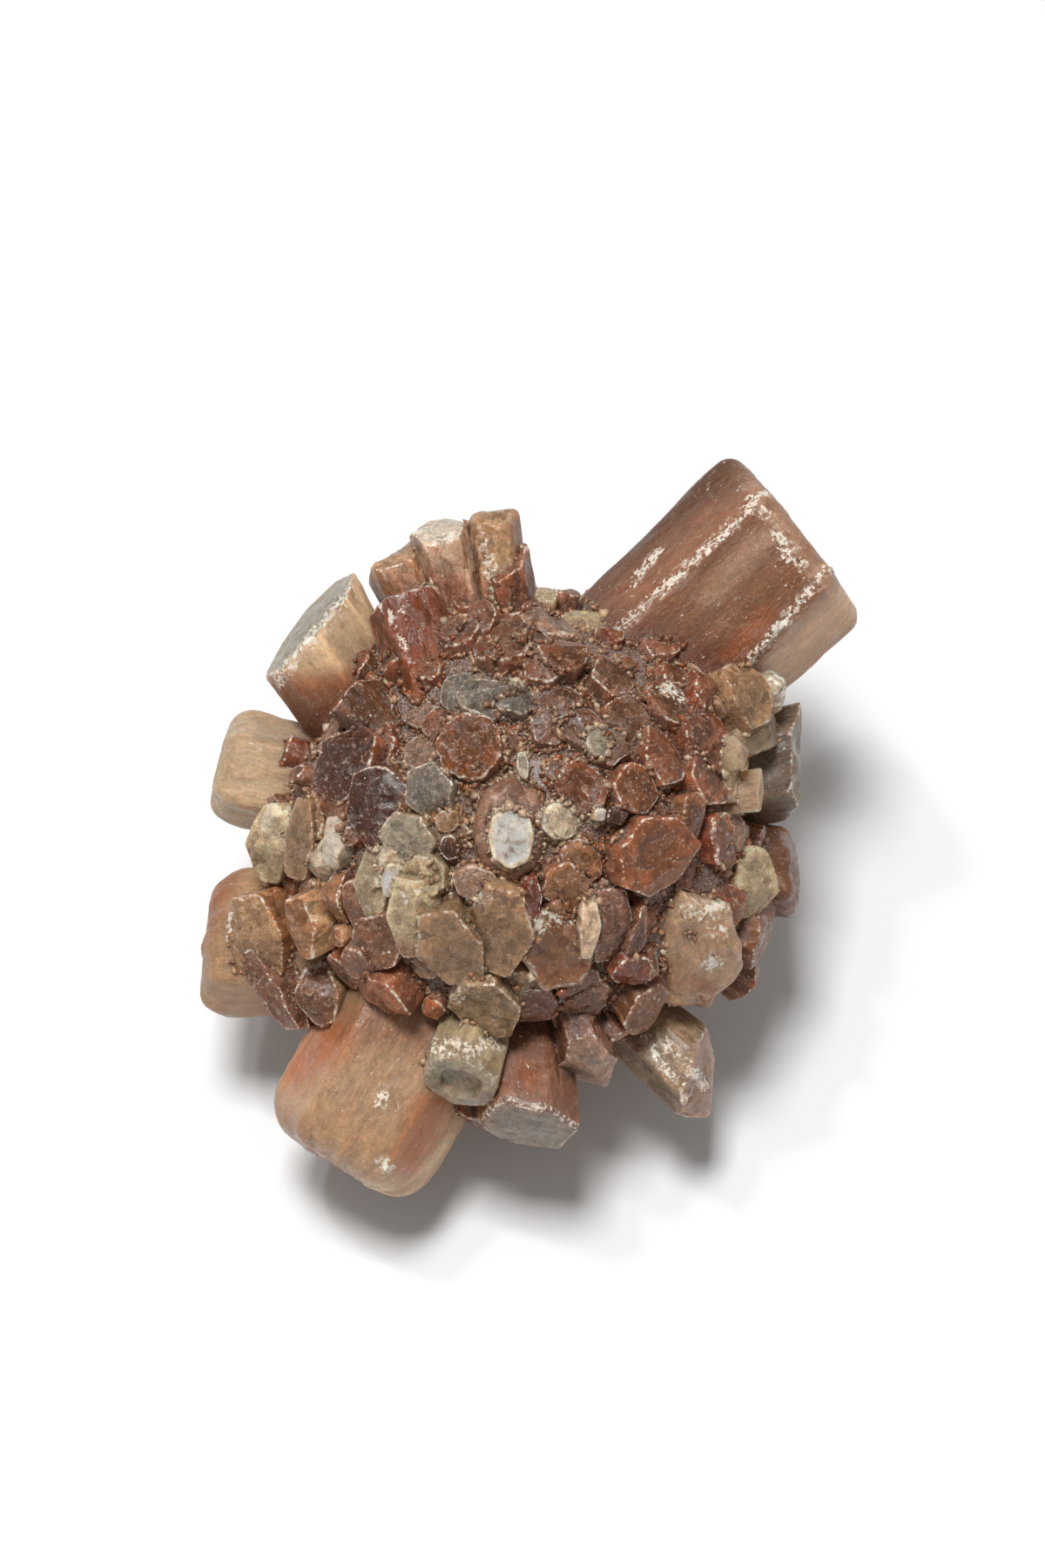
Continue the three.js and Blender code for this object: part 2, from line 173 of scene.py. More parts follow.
# Optional: sides, round, lean, taper and root, as in the solid, and these for the finish: clear (how
# see-through), frost (how whitened the end is), cup (width of the end's rim, depth inside it) and cuts
# (how many corners of the end are cut off). Three differ from the solid: red_glassy has another root,
# red_glassy_low is smaller and lies lower, and prism_foot is only here.
FACE_CRYSTALS = [
    # the great prism at the upper right, and the flat-ended one at the upper left
    crystal("great_prism", (17.9, 18.0, 1.0), (13.3, 11.6), 136, "maroon prism pink",
            round=1.2, root=(1.4, 2.7, 0), taper=0.9, lean=(0.08, 0), cuts=0),
    crystal("grey_ended_prism", (-13.0, 12.5, 3.0), (8.3, 7.6), 213, "brown pale_honey silver",
            sides=8, root=(-5, 0, 0), lean=(-0.3, -0.08), frost=0.2, cuts=0),

    # the columns along the top
    crystal("low_column", (-8.1, 16.8, 2.0), (4.5, 4.8), 208, "brick tan honey", root=(-1.5, 4.5, 0)),
    crystal("white_column", (-5.1, 18.8, 3.0), (3.9, 4.6), 195, "mauve pink white", frost=0.4),
    crystal("tall_column", (-1.7, 19.5, 2.4), (4.1, 5.1), 185, "mauve tan honey", round=0.7),
    crystal("red_column", (-0.9, 16.9, 3.2), (3.4, 4.6), 192, "maroon brick brick", root=(1.8, 4, 0)),
    crystal("green_chip", (1.8, 14.3, 5.0), (1.5, 1.6), 180, "umber green green"),
    crystal("pink_grey_block", (2.1, 12.5, 7.8), (4.4, 3.0), 172, "umber pale_mauve pale_mauve"),
    crystal("red_glassy", (-7.2, 13.8, 6.6), (5.3, 4.8), 207, "rust dark_red pale_mauve",
            root=(-4.0, 3.6, 7.4), clear=0.15),
    crystal("red_glassy_low", (-4.6, 6.1, 11.8), (3.0, 2.8), 205, "maroon dark_red brick"),
    crystal("slender_one", (-4.4, 12.2, 8.8), (2.5, 2.8), 198, "maroon brick mauve"),
    crystal("slender_two", (-2.5, 13.0, 8.4), (2.5, 2.5), 190, "maroon brick mauve"),
    crystal("brown_hexagon", (-0.6, 11.4, 10.9), (3.3, 3.6), 10, "umber brick brown"),
    crystal("dark_chip", (0.9, 11.2, 11.2), (1.5, 2.1), 80, "umber umber umber"),
    crystal("ochre_round", (2.7, 10.5, 11.8), (3.3, 3.3), 20, "umber brown ochre", sides=9),
    crystal("grey_oval", (-1.7, 7.8, 13.2), (4.6, 3.0), 0, "umber blue_grey blue_grey", sides=8),
    crystal("purple_round", (2.4, 7.4, 13.2), (3.0, 2.9), 0, "umber mauve mauve", sides=8),
    crystal("crust_block_a", (6.8, 6.2, 12.6), (3.7, 3.2), 30, "umber brick brown"),
    crystal("crust_block_b", (6.2, 9.0, 11.2), (3.7, 3.2), 10, "umber mauve brown"),
    crystal("crust_block_c", (9.3, 7.4, 10.6), (3.7, 3.0), 40, "maroon brick brown"),

    # the middle, whose crystals point straight out of the face
    crystal("white_tipped", (-0.5, -0.6, 15.4), (5.0, 6.6), 0, "umber mauve pale_mauve",
            sides=8, round=0.9),
    crystal("white_core", (-0.4, -1.1, 16.1), (3.0, 3.9), 0, "white white white",
            sides=8, round=0.3, frost=1.0),
    crystal("ringed_round", (-3.0, 4.6, 14.8), (4.2, 4.2), 15, "umber ochre ochre", sides=9, cup=(0.6, 0.3)),
    crystal("blue_grey", (-5.4, 1.7, 14.4), (3.2, 3.4), 20, "umber blue_grey blue_grey"),
    crystal("tan_dot", (-4.3, 0.0, 14.8), (1.6, 1.6), 0, "umber honey honey", sides=7),
    crystal("dark_dot", (-4.2, -1.6, 14.8), (1.3, 1.5), 10, "umber umber umber"),
    crystal("pale_sliver", (0.3, 3.4, 15.0), (0.9, 1.8), 5, "grey pale_grey pale_grey"),
    crystal("mauve_patch", (4.0, 6.0, 13.6), (2.8, 3.0), 30, "umber mauve mauve"),
    crystal("grey_dot", (4.9, 4.8, 14.0), (1.7, 1.7), 12, "umber pale_grey pale_grey"),
    crystal("red_round", (4.0, 2.2, 14.8), (3.4, 3.6), 0, "umber dark_red brick", sides=8, cup=(0.4, 0.2)),
    crystal("white_shard", (5.0, 0.4, 15.2), (1.1, 1.1), 40, "grey white white", sides=4, frost=1.0),
    crystal("dark_shard", (6.1, 0.4, 14.8), (1.4, 1.5), 70, "umber umber umber", sides=5),
    crystal("ochre_block", (7.3, 1.9, 13.9), (3.4, 3.0), -10, "umber brick ochre"),
    crystal("mauve_pair_a", (9.1, 4.2, 12.4), (3.4, 4.1), 15, "umber brick brick"),
    crystal("mauve_pair_b", (11.7, 5.2, 9.8), (4.8, 3.4), -14, "maroon brick brick"),
    crystal("brown_step", (12.0, 2.8, 10.2), (4.5, 3.7), 4, "maroon brick brick"),
    crystal("brown_lozenge", (11.0, 0.0, 11.9), (2.3, 3.2), 14, "umber brown brown"),
    crystal("orange_end", (8.6, -2.2, 13.8), (6.2, 5.4), 12, "umber brick orange", sides=7, cuts=1),
    crystal("dark_red_block", (12.1, 8.0, 8.6), (2.6, 3.9), 10, "maroon dark_red brick"),
    crystal("mauve_wedge", (-10.9, 3.7, 10.2), (5.5, 4.4), 24, "maroon brick deep_red"),
    crystal("brown_shield", (-8.8, 0.9, 12.8), (4.5, 5.2), 15, "umber brown deep_red"),
    crystal("green_white", (-6.9, -1.0, 14.2), (3.9, 3.0), -8, "olive olive pale_grey"),

    # the right-hand side
    crystal("pale_ochre", (14.6, 8.0, 7.2), (3.9, 4.5), 20, "brick honey honey", root=(6, 3, -3), clear=0.2),
    crystal("glint_chip", (16.6, 8.4, 4.6), (2.1, 2.5), 40, "honey white white", clear=0.4, frost=0.5),
    crystal("clear_plate", (15.7, 5.9, 6.4), (5.8, 2.9), 26, "honey clear clear",
            root=(8, 3, -3), clear=0.6),
    crystal("grey_brown_block", (17.9, 3.5, 1.2), (7.4, 5.6), 96, "umber slate slate", lean=(0.2, 0),
            clear=0.2),
    crystal("sliver_one", (14.0, 4.4, 9.6), (0.9, 2.3), 10, "honey cream cream", sides=4, clear=0.5),
    crystal("sliver_two", (15.1, 1.8, 8.2), (0.9, 3.0), -5, "honey cream cream", sides=4, clear=0.5),
    crystal("olive_block", (17.8, -3.5, 0.8), (6.0, 5.2), 80, "umber brown brown",
            round=0.8, lean=(-0.15, 0), clear=0.2),
    crystal("clear_box", (15.0, -4.1, 6.6), (3.2, 4.6), -6, "honey clear pale_green",
            root=(11, -3, -4), clear=0.4),
    crystal("brown_slab", (15.7, -7.4, 3.2), (4.8, 3.9), 64, "umber brown brown"),
    crystal("dark_corner", (15.2, -10.6, 0.0), (3.9, 3.4), 55, "umber brown brown"),
    crystal("red_speck", (12.9, -1.2, 9.8), (2.8, 3.2), 0, "maroon dark_red brick"),

    # the lower right
    crystal("pale_honey", (11.6, -8.8, 8.8), (10.0, 5.8), 112, "brick honey rosy",
            root=(6, -4, -4), round=0.8, clear=0.2, cuts=2),
    crystal("pink_point", (11.9, -16.7, 3.2), (5.8, 5.6), 50, "mauve grey pale_mauve",
            root=(3, -9, 0), lean=(-0.26, -0.3)),
    crystal("brown_filler_a", (4.0, -11.2, 9.6), (3.7, 3.9), 20, "umber brown mauve"),
    crystal("brown_filler_b", (8.2, -12.0, 8.0), (4.1, 3.9), 10, "umber brown brown"),
    crystal("red_small", (7.1, -9.5, 10.8), (2.9, 2.5), 0, "maroon dark_red dark_red"),
    crystal("mauve_slab", (5.8, -6.8, 13.0), (3.3, 4.9), 2, "umber mauve mauve"),
    crystal("mauve_slab_thin", (7.5, -7.0, 12.4), (1.4, 3.7), -6, "umber brick mauve"),
    crystal("cream_blade", (4.4, -6.6, 14.1), (1.4, 4.1), -2, "honey cream cream"),

    # the lower middle
    crystal("golden_window", (2.5, -7.9, 13.3), (4.9, 5.5), 8, "brick honey golden",
            round=0.5, clear=0.25, cuts=1),
    crystal("red_face", (2.9, -4.1, 14.8), (3.2, 3.3), 20, "umber brick golden"),
    crystal("red_hexagon", (0.8, -4.7, 15.0), (1.7, 2.4), 5, "umber dark_red maroon"),
    crystal("mauve_hexagon", (-1.2, -6.8, 14.4), (4.4, 6.0), -8, "brown tan tan", clear=0.2, cuts=1),
    crystal("pale_rim", (-2.6, -3.9, 15.0), (3.1, 2.1), -24, "umber pale_mauve pale_mauve"),
    crystal("brown_grey", (-4.1, -7.9, 13.4), (4.6, 5.5), 14, "brown olive tan", clear=0.2, cuts=1),
    crystal("green_orange", (-6.4, -6.0, 13.3), (3.8, 5.3), 0, "rust green pale_green", clear=0.25, cuts=1),
    crystal("green_pad", (-6.0, -3.1, 13.9), (3.2, 2.0), 0, "olive green green"),
    crystal("olive_hexagon", (-2.0, -11.7, 10.8), (4.7, 5.1), 8, "umber olive olive", cuts=1),
    crystal("green_window", (-3.6, -16.2, 9.0), (5.3, 5.2), 12, "olive green pale_grey",
            root=(-1, -6, 0), round=0.5, clear=0.3, cup=(0.6, 0.5), cuts=0),
    crystal("dark_grey_one", (1.1, -11.7, 9.8), (3.2, 4.4), 0, "umber brick mauve"),
    crystal("grey_foot", (0.7, -19.4, 7.0), (6.3, 6.6), 4, "brown mauve slate",
            root=(0.5, -8, 0), round=0.4, frost=0.2),
    crystal("grey_foot_side", (4.5, -15.9, 7.0), (3.6, 6.0), 14, "umber mauve pale_mauve"),
    crystal("brown_bit", (-3.0, -19.3, 3.6), (3.3, 3.9), 350, "umber brown brown"),

    # the lower left
    crystal("peach_giant", (-11.7, -21.7, 3.0), (11.4, 10.4), 329, "brick peach peach",
            round=2.7, taper=1.15, lean=(0.05, 0), clear=0.1, cuts=0),
    crystal("lower_left_lobe", (-19.9, -8.0, 0.6), (9.8, 8.4), 273, "brick peach honey",
            round=2.2, root=(-3, -7.4, 0), lean=(0.15, 0), clear=0.2, cuts=0),
    crystal("left_lobe", (-19.0, 3.7, 0.0), (8.0, 7.4), 252, "brown pale_honey pale_honey",
            round=2.2, root=(-4, 0, 0), clear=0.2, cuts=0),
    crystal("lobe_top", (-16.7, -7.4, 5.8), (4.6, 5.3), 8, "brown golden honey", root=(-12, -5.5, -6)),
    crystal("mauve_blade", (-15.7, -10.9, 5.0), (2.1, 6.0), 25, "umber mauve mauve", root=(-11, -7, -6)),
    crystal("lobe_foot", (-14.6, -11.4, 4.4), (3.0, 4.4), 10, "umber brown brown", root=(-10, -7, -6)),
    crystal("honey_pair_a", (-15.8, -1.7, 6.2), (3.0, 5.3), -10, "olive green pale_green",
            root=(-11, 0, -6), clear=0.3),
    crystal("honey_pair_b", (-13.7, -1.2, 8.6), (2.6, 4.9), -6, "olive honey honey",
            root=(-9, 0, -5), clear=0.3),
    crystal("white_glint", (-11.7, -1.4, 10.9), (2.1, 3.2), 0, "grey pale_grey white", frost=0.5),
    crystal("green_column", (-9.2, -3.9, 12.2), (2.3, 4.8), -4, "olive green green", clear=0.2),
    crystal("white_glint_low", (-7.8, -3.7, 13.2), (1.3, 2.0), -10, "grey white white", frost=1.0),
    crystal("brown_prism_a", (-13.7, -6.8, 8.4), (2.2, 4.1), 4, "umber honey golden"),
    crystal("brown_prism_b", (-11.7, -5.2, 10.2), (1.7, 3.7), -6, "umber brown golden"),
    crystal("brown_prism_c", (-10.2, -5.4, 11.2), (1.5, 3.4), 5, "umber honey brown"),
    crystal("small_pair", (-10.0, -8.9, 10.2), (2.5, 2.3), 0, "umber brown brown"),
    crystal("rust_block", (-8.8, -11.2, 9.2), (5.4, 4.4), -8, "umber brick orange"),
    crystal("brown_crust", (-8.9, -7.7, 11.4), (3.7, 3.2), 15, "umber brown brown"),
    crystal("olive_brown", (-12.7, -11.2, 6.0), (3.2, 4.1), 10, "umber olive brown", root=(-8, -7, -6)),
    crystal("prism_foot", (-10.4, 8.2, 7.8), (4.2, 3.8), 215, "umber umber brick", root=(-6.0, 3.4, 7.6)),
]

# The crystals that it stands on.
FEET = [
    crystal("foot_near_left", (-8.6, -12.9, -11.0), (5.4, 4.8), 30, "brown honey honey"),
    crystal("foot_near_right", (8.8, -12.2, -11.4), (5.2, 4.6), 100, "brown mauve honey"),
    crystal("foot_far_right", (7.0, -1.6, -17.2), (4.8, 4.4), 0, "brown peach honey"),
    crystal("foot_far_left", (-6.2, -0.9, -17.6), (5.0, 4.8), 60, "brown honey peach"),
]

# The hidden side, spread by the golden angle.
GOLDEN_ANGLE = math.radians(137.508)
BACK_COUNT = 34
BACK_SPAN = (-0.36, -0.97)    # how far out of the face the first and the last point, -1 being straight back
BACK_REACH = (14.2, 16.8)
BACK_CLEARANCE = 1.8          # how far above the resting plane the middle of an end stays
BACK_WIDTH = (4.4, 6.8)
BACK_SLIMNESS = (0.7, 0.95)
BACK_TONES = [
    "brown honey honey", "maroon brick mauve", "brick peach peach", "umber brown golden",
    "brown pale_mauve grey", "olive green honey",
]
BEHIND = -3.0                 # a crystal whose end lies this far back counts as hidden

# Short crystals that fill the gaps between the others, on the same spiral.
INFILL_COUNT = 270
INFILL_SPAN = (0.985, -0.756)
INFILL_BELOW = (0.1, 1.3)     # how far their ends lie below the ends round them
INFILL_WIDTH = (1.3, 3.6)
INFILL_STRAY = 4.5            # how wide round the heart their roots are spread
INFILL_SHY = 5.0              # they take no tone from a neighbour wider than this
INFILL_OWN = 0.4              # the share of them that takes a tone of the infill's own
INFILL_TONES = [
    "umber brick brown", "maroon brick brick", "umber mauve mauve", "umber brown ochre",
    "maroon dark_red brick", "umber brown pale_mauve",
]


# ---- small tools ----
def uneven(first, second):
    """A fixed, uneven number from 0 to 1 for any two values."""
    wave = math.sin(first * 12.9898 + second * 78.233) * 43758.5453
    return wave - math.floor(wave)


def between(ends, share):
    return ends[0] + (ends[1] - ends[0]) * share


def smooth(low, high, value):
    share = np.clip((value - low) / (high - low), 0, 1)
    return share * share * (3 - 2 * share)


def unit(vectors):
    return vectors / np.linalg.norm(vectors, axis=-1, keepdims=True)


def lattice(cells):
    """A fixed, uneven number from 0 to 1 at each whole-numbered point."""
    cells = cells.astype(np.int64)
    mixed = cells[..., 0] * 73856093 ^ cells[..., 1] * 19349663 ^ cells[..., 2] * 83492791
    mixed = ((mixed ^ (mixed >> 13)) * 1274126177) & 0xFFFFFFFF
    return ((mixed ^ (mixed >> 16)) & 0xFFFFFF) / 0xFFFFFF


def noise(points):
    """Smooth noise from -1 to 1 whose bumps are about one unit across."""
    points = np.asarray(points, float)
    low = np.floor(points)
    share = points - low
    share = share * share * (3 - 2 * share)
    total = np.zeros(points.shape[:-1])
    for corner in np.ndindex(2, 2, 2):
        weight = np.prod(np.where(np.array(corner) == 1, share, 1 - share), axis=-1)
        total += weight * lattice(low + corner)
    return 2 * total - 1


def cell_gap(points):
    """Distance to the nearest of one scattered point in each unit cell, for lumpy, granular relief."""
    points = np.asarray(points, float)
    low = np.floor(points)
    nearest = np.full(points.shape[:-1], 9.0)
    for step in np.ndindex(3, 3, 3):
        cell = low + np.array(step) - 1
        spot = cell + np.stack([lattice(cell), lattice(cell + 57), lattice(cell + 131)], axis=-1)
        nearest = np.minimum(nearest, np.linalg.norm(points - spot, axis=-1))
    return nearest


def stand_up(points):
    """From the face frame to the resting frame."""
    cos, sin = math.cos(LEAN_BACK), math.sin(LEAN_BACK)
    turned = np.stack([points[..., 0], points[..., 1] * cos - points[..., 2] * sin,
                       points[..., 1] * sin + points[..., 2] * cos], axis=-1)
    return turned + HEART


def lie_back(points):
    """From the resting frame to the face frame."""
    cos, sin = math.cos(LEAN_BACK), math.sin(LEAN_BACK)
    moved = points - HEART
    return np.stack([moved[..., 0], moved[..., 1] * cos + moved[..., 2] * sin,
                     moved[..., 2] * cos - moved[..., 1] * sin], axis=-1)


def read(items, name, width=1, kind=float):
    """One property of every item of a mesh, with a row for each item where it has several values."""
    values = np.zeros(len(items) * width, kind)
    items.foreach_get(name, values)
    return values.reshape(-1, width) if width > 1 else values


def write(mesh, name, kind, domain, values):
    """A new attribute of a mesh."""
    field = {"FLOAT_VECTOR": "vector", "FLOAT_COLOR": "color"}.get(kind, "value")
    number = np.int32 if kind == "INT" else np.float32
    mesh.attributes.new(name, kind, domain).data.foreach_set(field, values.astype(number).ravel())


def write_colours(mesh, domain, colours):
    write(mesh, "tint", "FLOAT_COLOR", domain, np.column_stack([colours, np.ones(len(colours))]))


def move_to(mesh, points):
    mesh.vertices.foreach_set("co", points.astype(np.float32).ravel())


def mesh_from(name, points, triangles):
    mesh = bpy.data.meshes.new(name)
    mesh.vertices.add(len(points))
    move_to(mesh, points)
    mesh.loops.add(triangles.size)
    mesh.loops.foreach_set("vertex_index", triangles.astype(np.int32).ravel())
    mesh.polygons.add(len(triangles))
    mesh.polygons.foreach_set("loop_start", np.arange(0, triangles.size, 3, dtype=np.int32))
    mesh.update(calc_edges=True)
    return mesh


def new_object(name, mesh):
    made = bpy.data.objects.new(name, mesh)
    bpy.context.scene.collection.objects.link(made)
    return made


# ---- the crystals ----
def on_spiral(count, of, span):
    """The direction of one of several crystals that are spread by the golden angle."""
    out = between(span, count / (of - 1))
    flat = math.sqrt(1 - out * out)
    angle = GOLDEN_ANGLE * count
    return np.array([flat * math.cos(angle), flat * math.sin(angle), out])


def back_crystals():
    rows = []
    for count in range(BACK_COUNT):
        direction = on_spiral(count, BACK_COUNT, BACK_SPAN)
        drop = -(direction[1] * math.sin(LEAN_BACK) + direction[2] * math.cos(LEAN_BACK))
        longest = (HEART[2] - BACK_CLEARANCE) / max(drop, 0.1)
        reach = min(between(BACK_REACH, uneven(count, 3)), longest)
        across = between(BACK_WIDTH, uneven(count, 5))
        size = (across, across * between(BACK_SLIMNESS, uneven(count, 7)))
        tones = BACK_TONES[int(len(BACK_TONES) * uneven(count, 11))]
        rows.append(crystal(f"back_{count}", tuple(direction * reach), size, 360 * uneven(count, 9), tones))
    return rows


def level_of_ends(directions, rows):
    """How far from the heart the ends of the crystals round each direction lie."""
    ends = np.array([row["tip"] for row in rows])
    ends = ends[np.linalg.norm(ends, axis=1) < FAR_END]
    nearness = np.exp(BED_FOLLOWS * (directions @ unit(ends).T - 1))
    return (nearness @ np.linalg.norm(ends, axis=1)) / nearness.sum(axis=-1)


def infill_crystals(neighbours):
    """Short crystals spread over the face, the flanks and most of the back, many toned like a neighbour."""
    made = []
    directions = unit(np.array([row["tip"] for row in neighbours]))
    for count in range(INFILL_COUNT):
        direction = on_spiral(count, INFILL_COUNT, INFILL_SPAN)
        tip = direction * (level_of_ends(direction, neighbours) - between(INFILL_BELOW, uneven(count, 13)))
        across = between(INFILL_WIDTH, uneven(count, 15))
        size = (across, across * between(BACK_SLIMNESS, uneven(count, 17)))
        nearest = neighbours[int(np.argmax(directions @ direction))]
        tones = nearest["tones"]
        if min(nearest["size"]) > INFILL_SHY or uneven(count, 29) < INFILL_OWN:
            tones = INFILL_TONES[int(len(INFILL_TONES) * uneven(count, 31))]
        root = (INFILL_STRAY * (uneven(count, 23) - 0.5), INFILL_STRAY * (uneven(count, 25) - 0.5), 0)
        turn = 360 * uneven(count, 19)
        made.append(crystal(f"infill_{count}", tuple(tip), size, turn, tones, root=root))
    return made


def section_corners(row):
    """The corners of a crystal's section: an even polygon, stretched to size, with each corner strayed."""
    across, thick = row["size"]
    sides = row.get("sides", 6)
    highest = math.cos(math.pi / sides) if sides % 4 == 2 else 1
    corners = []
    for corner in range(sides):
        angle = 2 * math.pi * corner / sides
        stray = 1 + UNEVEN * (uneven(row["tip"][0] + row["tip"][1], corner + 1) - 0.5)
        corners.append((across / 2 * math.cos(angle) * stray, thick / 2 * math.sin(angle) * stray / highest))
    return np.array(corners)


def section_outline(row, step):
    """Points round the section with filleted corners, and how near each is to a corner, from 0 to 1."""
    corners = section_corners(row)
    count = len(corners)
    reach = [min(EDGE_WEAR, CORNER_SHARE * np.linalg.norm(corners[(k + 1) % count] - corners[k]))
             for k in range(count)]
    points = []
    edginess = []
    for k in range(count):
        before = unit(corners[k - 1] - corners[k])
        after = unit(corners[(k + 1) % count] - corners[k])
        start = corners[k] + before * min(reach[k - 1], reach[k])
        end = corners[k] + after * reach[k]
        points += [start, corners[k] / 2 + (start + end) / 4, end]
        edginess += [0.6, 1.0, 0.6]
        following = (k + 1) % count
        stop = corners[following] - after * min(reach[k], reach[following])
        steps = max(1, math.ceil(np.linalg.norm(stop - end) / step))
        for i in range(1, steps):
            points.append(end + (stop - end) * i / steps)
            edginess.append(0.0)
    return np.array(points), np.array(edginess)


def facing(axis):
    """The rotation that takes +Z to axis the shortest way."""
    x, y, z = axis
    cross = np.array([[0, 0, x], [0, 0, y], [-x, -y, 0]])
    return np.eye(3) + cross + cross @ cross / (1 + z)


def placing(row):
    """A crystal's rotation from its own axes, its root and its length."""
    root = np.array(row.get("root", (0, 0, 0)), float)
    axis = np.array(row["tip"]) - root
    length = np.linalg.norm(axis)
    turn = math.radians(row["turn"])
    cos, sin = math.cos(turn), math.sin(turn)
    turning = np.array([[cos, -sin, 0], [sin, cos, 0], [0, 0, 1]])
    return facing(axis / length) @ turning, root, length


def worn_round(row):
    return min(row.get("round", SHOULDER), MOST_ROUND * min(row["size"]))


def flank_relief(points, seed, scale):
    """How far a prism's side stands out or in: fine lengthwise striations over a slow wobble."""
    coarse = noise(points / GROOVES + (seed, 0, 0))
    fine = noise(points / STRIAE + (0, seed, 0))
    wobble = noise(points / WOBBLE + (0, 0, seed))
    pits = smooth(0.35, 0.8, noise(points / PITS + (0, 0, 2 * seed)))
    raised = GROOVE_HEIGHT * coarse + STRIA_HEIGHT * fine + WOBBLE_HEIGHT * wobble
    return scale * (raised - PIT_DEPTH * pits)


def corner_cuts(x, y, row, seed):
    """How much lower the end is where more faces cut its corners off."""
    lowered = np.zeros_like(x)
    narrow = min(row["size"])
    for cut in range(row.get("cuts", CUTS)):
        angle = 2 * math.pi * uneven(seed, cut + 21)
        start = narrow * between(CUT_START, uneven(seed, cut + 31))
        slope = between(CUT_SLOPE, uneven(seed, cut + 41))
        beyond = x * math.cos(angle) + y * math.sin(angle) - start
        lowered = np.maximum(lowered, slope * np.maximum(beyond, 0))
    return lowered


def end_relief(x, y, inward, row, seed, scale):
    """The height of a crystal's end: low terraces, a fine unevenness, and the cup inside its rim."""
    place = np.column_stack([x, y, np.zeros_like(x)])
    wide, narrow = TERRACES
    terraces = 3 * noise(place / wide + (seed, 0, 0)) + 0.6 * noise(place / narrow + (0, seed, 0))
    stepped = np.floor(terraces) + smooth(0.75, 1.0, terraces - np.floor(terraces))
    fine = noise(place / END_GRAIN + (0, 0, seed))
    raised = scale * (TERRACE_HEIGHT * stepped + END_GRAIN_HEIGHT * fine)
    height = raised * smooth(0, 0.4, inward) - corner_cuts(x, y, row, seed)
    if "cup" in row:
        rim, depth = row["cup"]
        height = height - depth * smooth(rim, rim + 0.35, inward)
    return height


def crystal_solid(row, number, step):
    """Points, triangles and the kind of each triangle of one closed crystal."""
    outline, edginess = section_outline(row, step)
    rotation, root, length = placing(row)
    taper = row.get("taper", ROOT_TAPER)
    lean = row.get("lean", (0, 0))
    start = 0.0 if "root" in row else min(START_INSIDE[0], START_INSIDE[1] * length)
    narrow = min(row["size"])
    scale = min(1.0, narrow / FULL_WIDTH)
    seed = 3.7 * number
    count = len(outline)
    outward = unit(np.roll(outline, -1, axis=0) - np.roll(outline, 1, axis=0)) @ np.array([[0, -1], [1, 0]])

    chip = noise(np.column_stack([outline / CHIPS, np.full(count, seed)]))
    worn = worn_round(row) * (1 + 0.3 * chip) + 0.22 * scale * smooth(0.3, 0.9, chip)
    side_rows = max(2, math.ceil((length - start) / (step * LENGTHWISE)))
    shoulder_rows = 2 if worn_round(row) < ROUNDED else 6
    end_rows = max(2, math.ceil(narrow / 2 / (step * 1.15)))

    rings = []
    kinds = []
    top = length - worn - corner_cuts(outline[:, 0], outline[:, 1], row, seed)
    for share in np.linspace(0, 1, side_rows + 1):
        height = start + share * (top - start)
        ring = np.column_stack([outline, height])
        nick = edginess * NICK_DEPTH * scale * smooth(0.0, 0.8, noise(ring / NICKS + seed))
        relief = (flank_relief(ring, seed, scale) - nick)[:, None] * outward
        rings.append(ring + np.column_stack([relief, np.zeros(count)]))
        kinds.append(SIDE)
    edge = rings[-1].copy()
    half = np.array(row["size"]) / 2
    for part in range(1, shoulder_rows + 1):
        bend = math.pi / 2 * part / shoulder_rows
        inset = worn * (1 - math.cos(bend))
        squeeze = 1 - inset[:, None] / half
        rings.append(np.column_stack([edge[:, :2] * squeeze, edge[:, 2] + worn * math.sin(bend)]))
        kinds.append(BEVEL)
    brim = rings[-1].copy()
    mean_radius = half.mean() - worn_round(row)
    for part in range(1, end_rows):
        share = 1 - part / end_rows
        flat = brim[:, :2] * share
        relief = end_relief(flat[:, 0], flat[:, 1], (1 - share) * mean_radius, row, seed, scale)
        rings.append(np.column_stack([flat, length + relief]))
        kinds.append(END)
    rings = np.array(rings)

    rows = len(rings)
    ends = np.array([[0, 0, rings[0, :, 2].mean()], [0, 0, rings[-1, :, 2].mean()]])
    points = np.vstack([rings.reshape(-1, 3), ends])
    share = points[:, 2] / length
    width = taper + (1 - taper) * share
    slope = lean[0] * points[:, 0] + lean[1] * points[:, 1]
    points = np.column_stack([points[:, 0] * width, points[:, 1] * width, points[:, 2] + slope * share])
    points = points @ rotation.T + root

    here = np.arange(count)
    ahead = (here + 1) % count
    triangles = []
    kind_of = []
    for low in range(rows - 1):
        a, b = low * count + here, low * count + ahead
        c, d = a + count, b + count
        triangles += [np.column_stack([a, b, d]), np.column_stack([a, d, c])]
        kind_of += [np.full(2 * count, kinds[low + 1])]
    foot, top = rows * count, rows * count + 1
    last = (rows - 1) * count
    triangles += [np.column_stack([ahead, here, np.full(count, foot)]),
                  np.column_stack([last + here, last + ahead, np.full(count, top)])]
    kind_of += [np.full(count, SIDE), np.full(count, END)]
    return points, np.vstack(triangles), np.concatenate(kind_of)


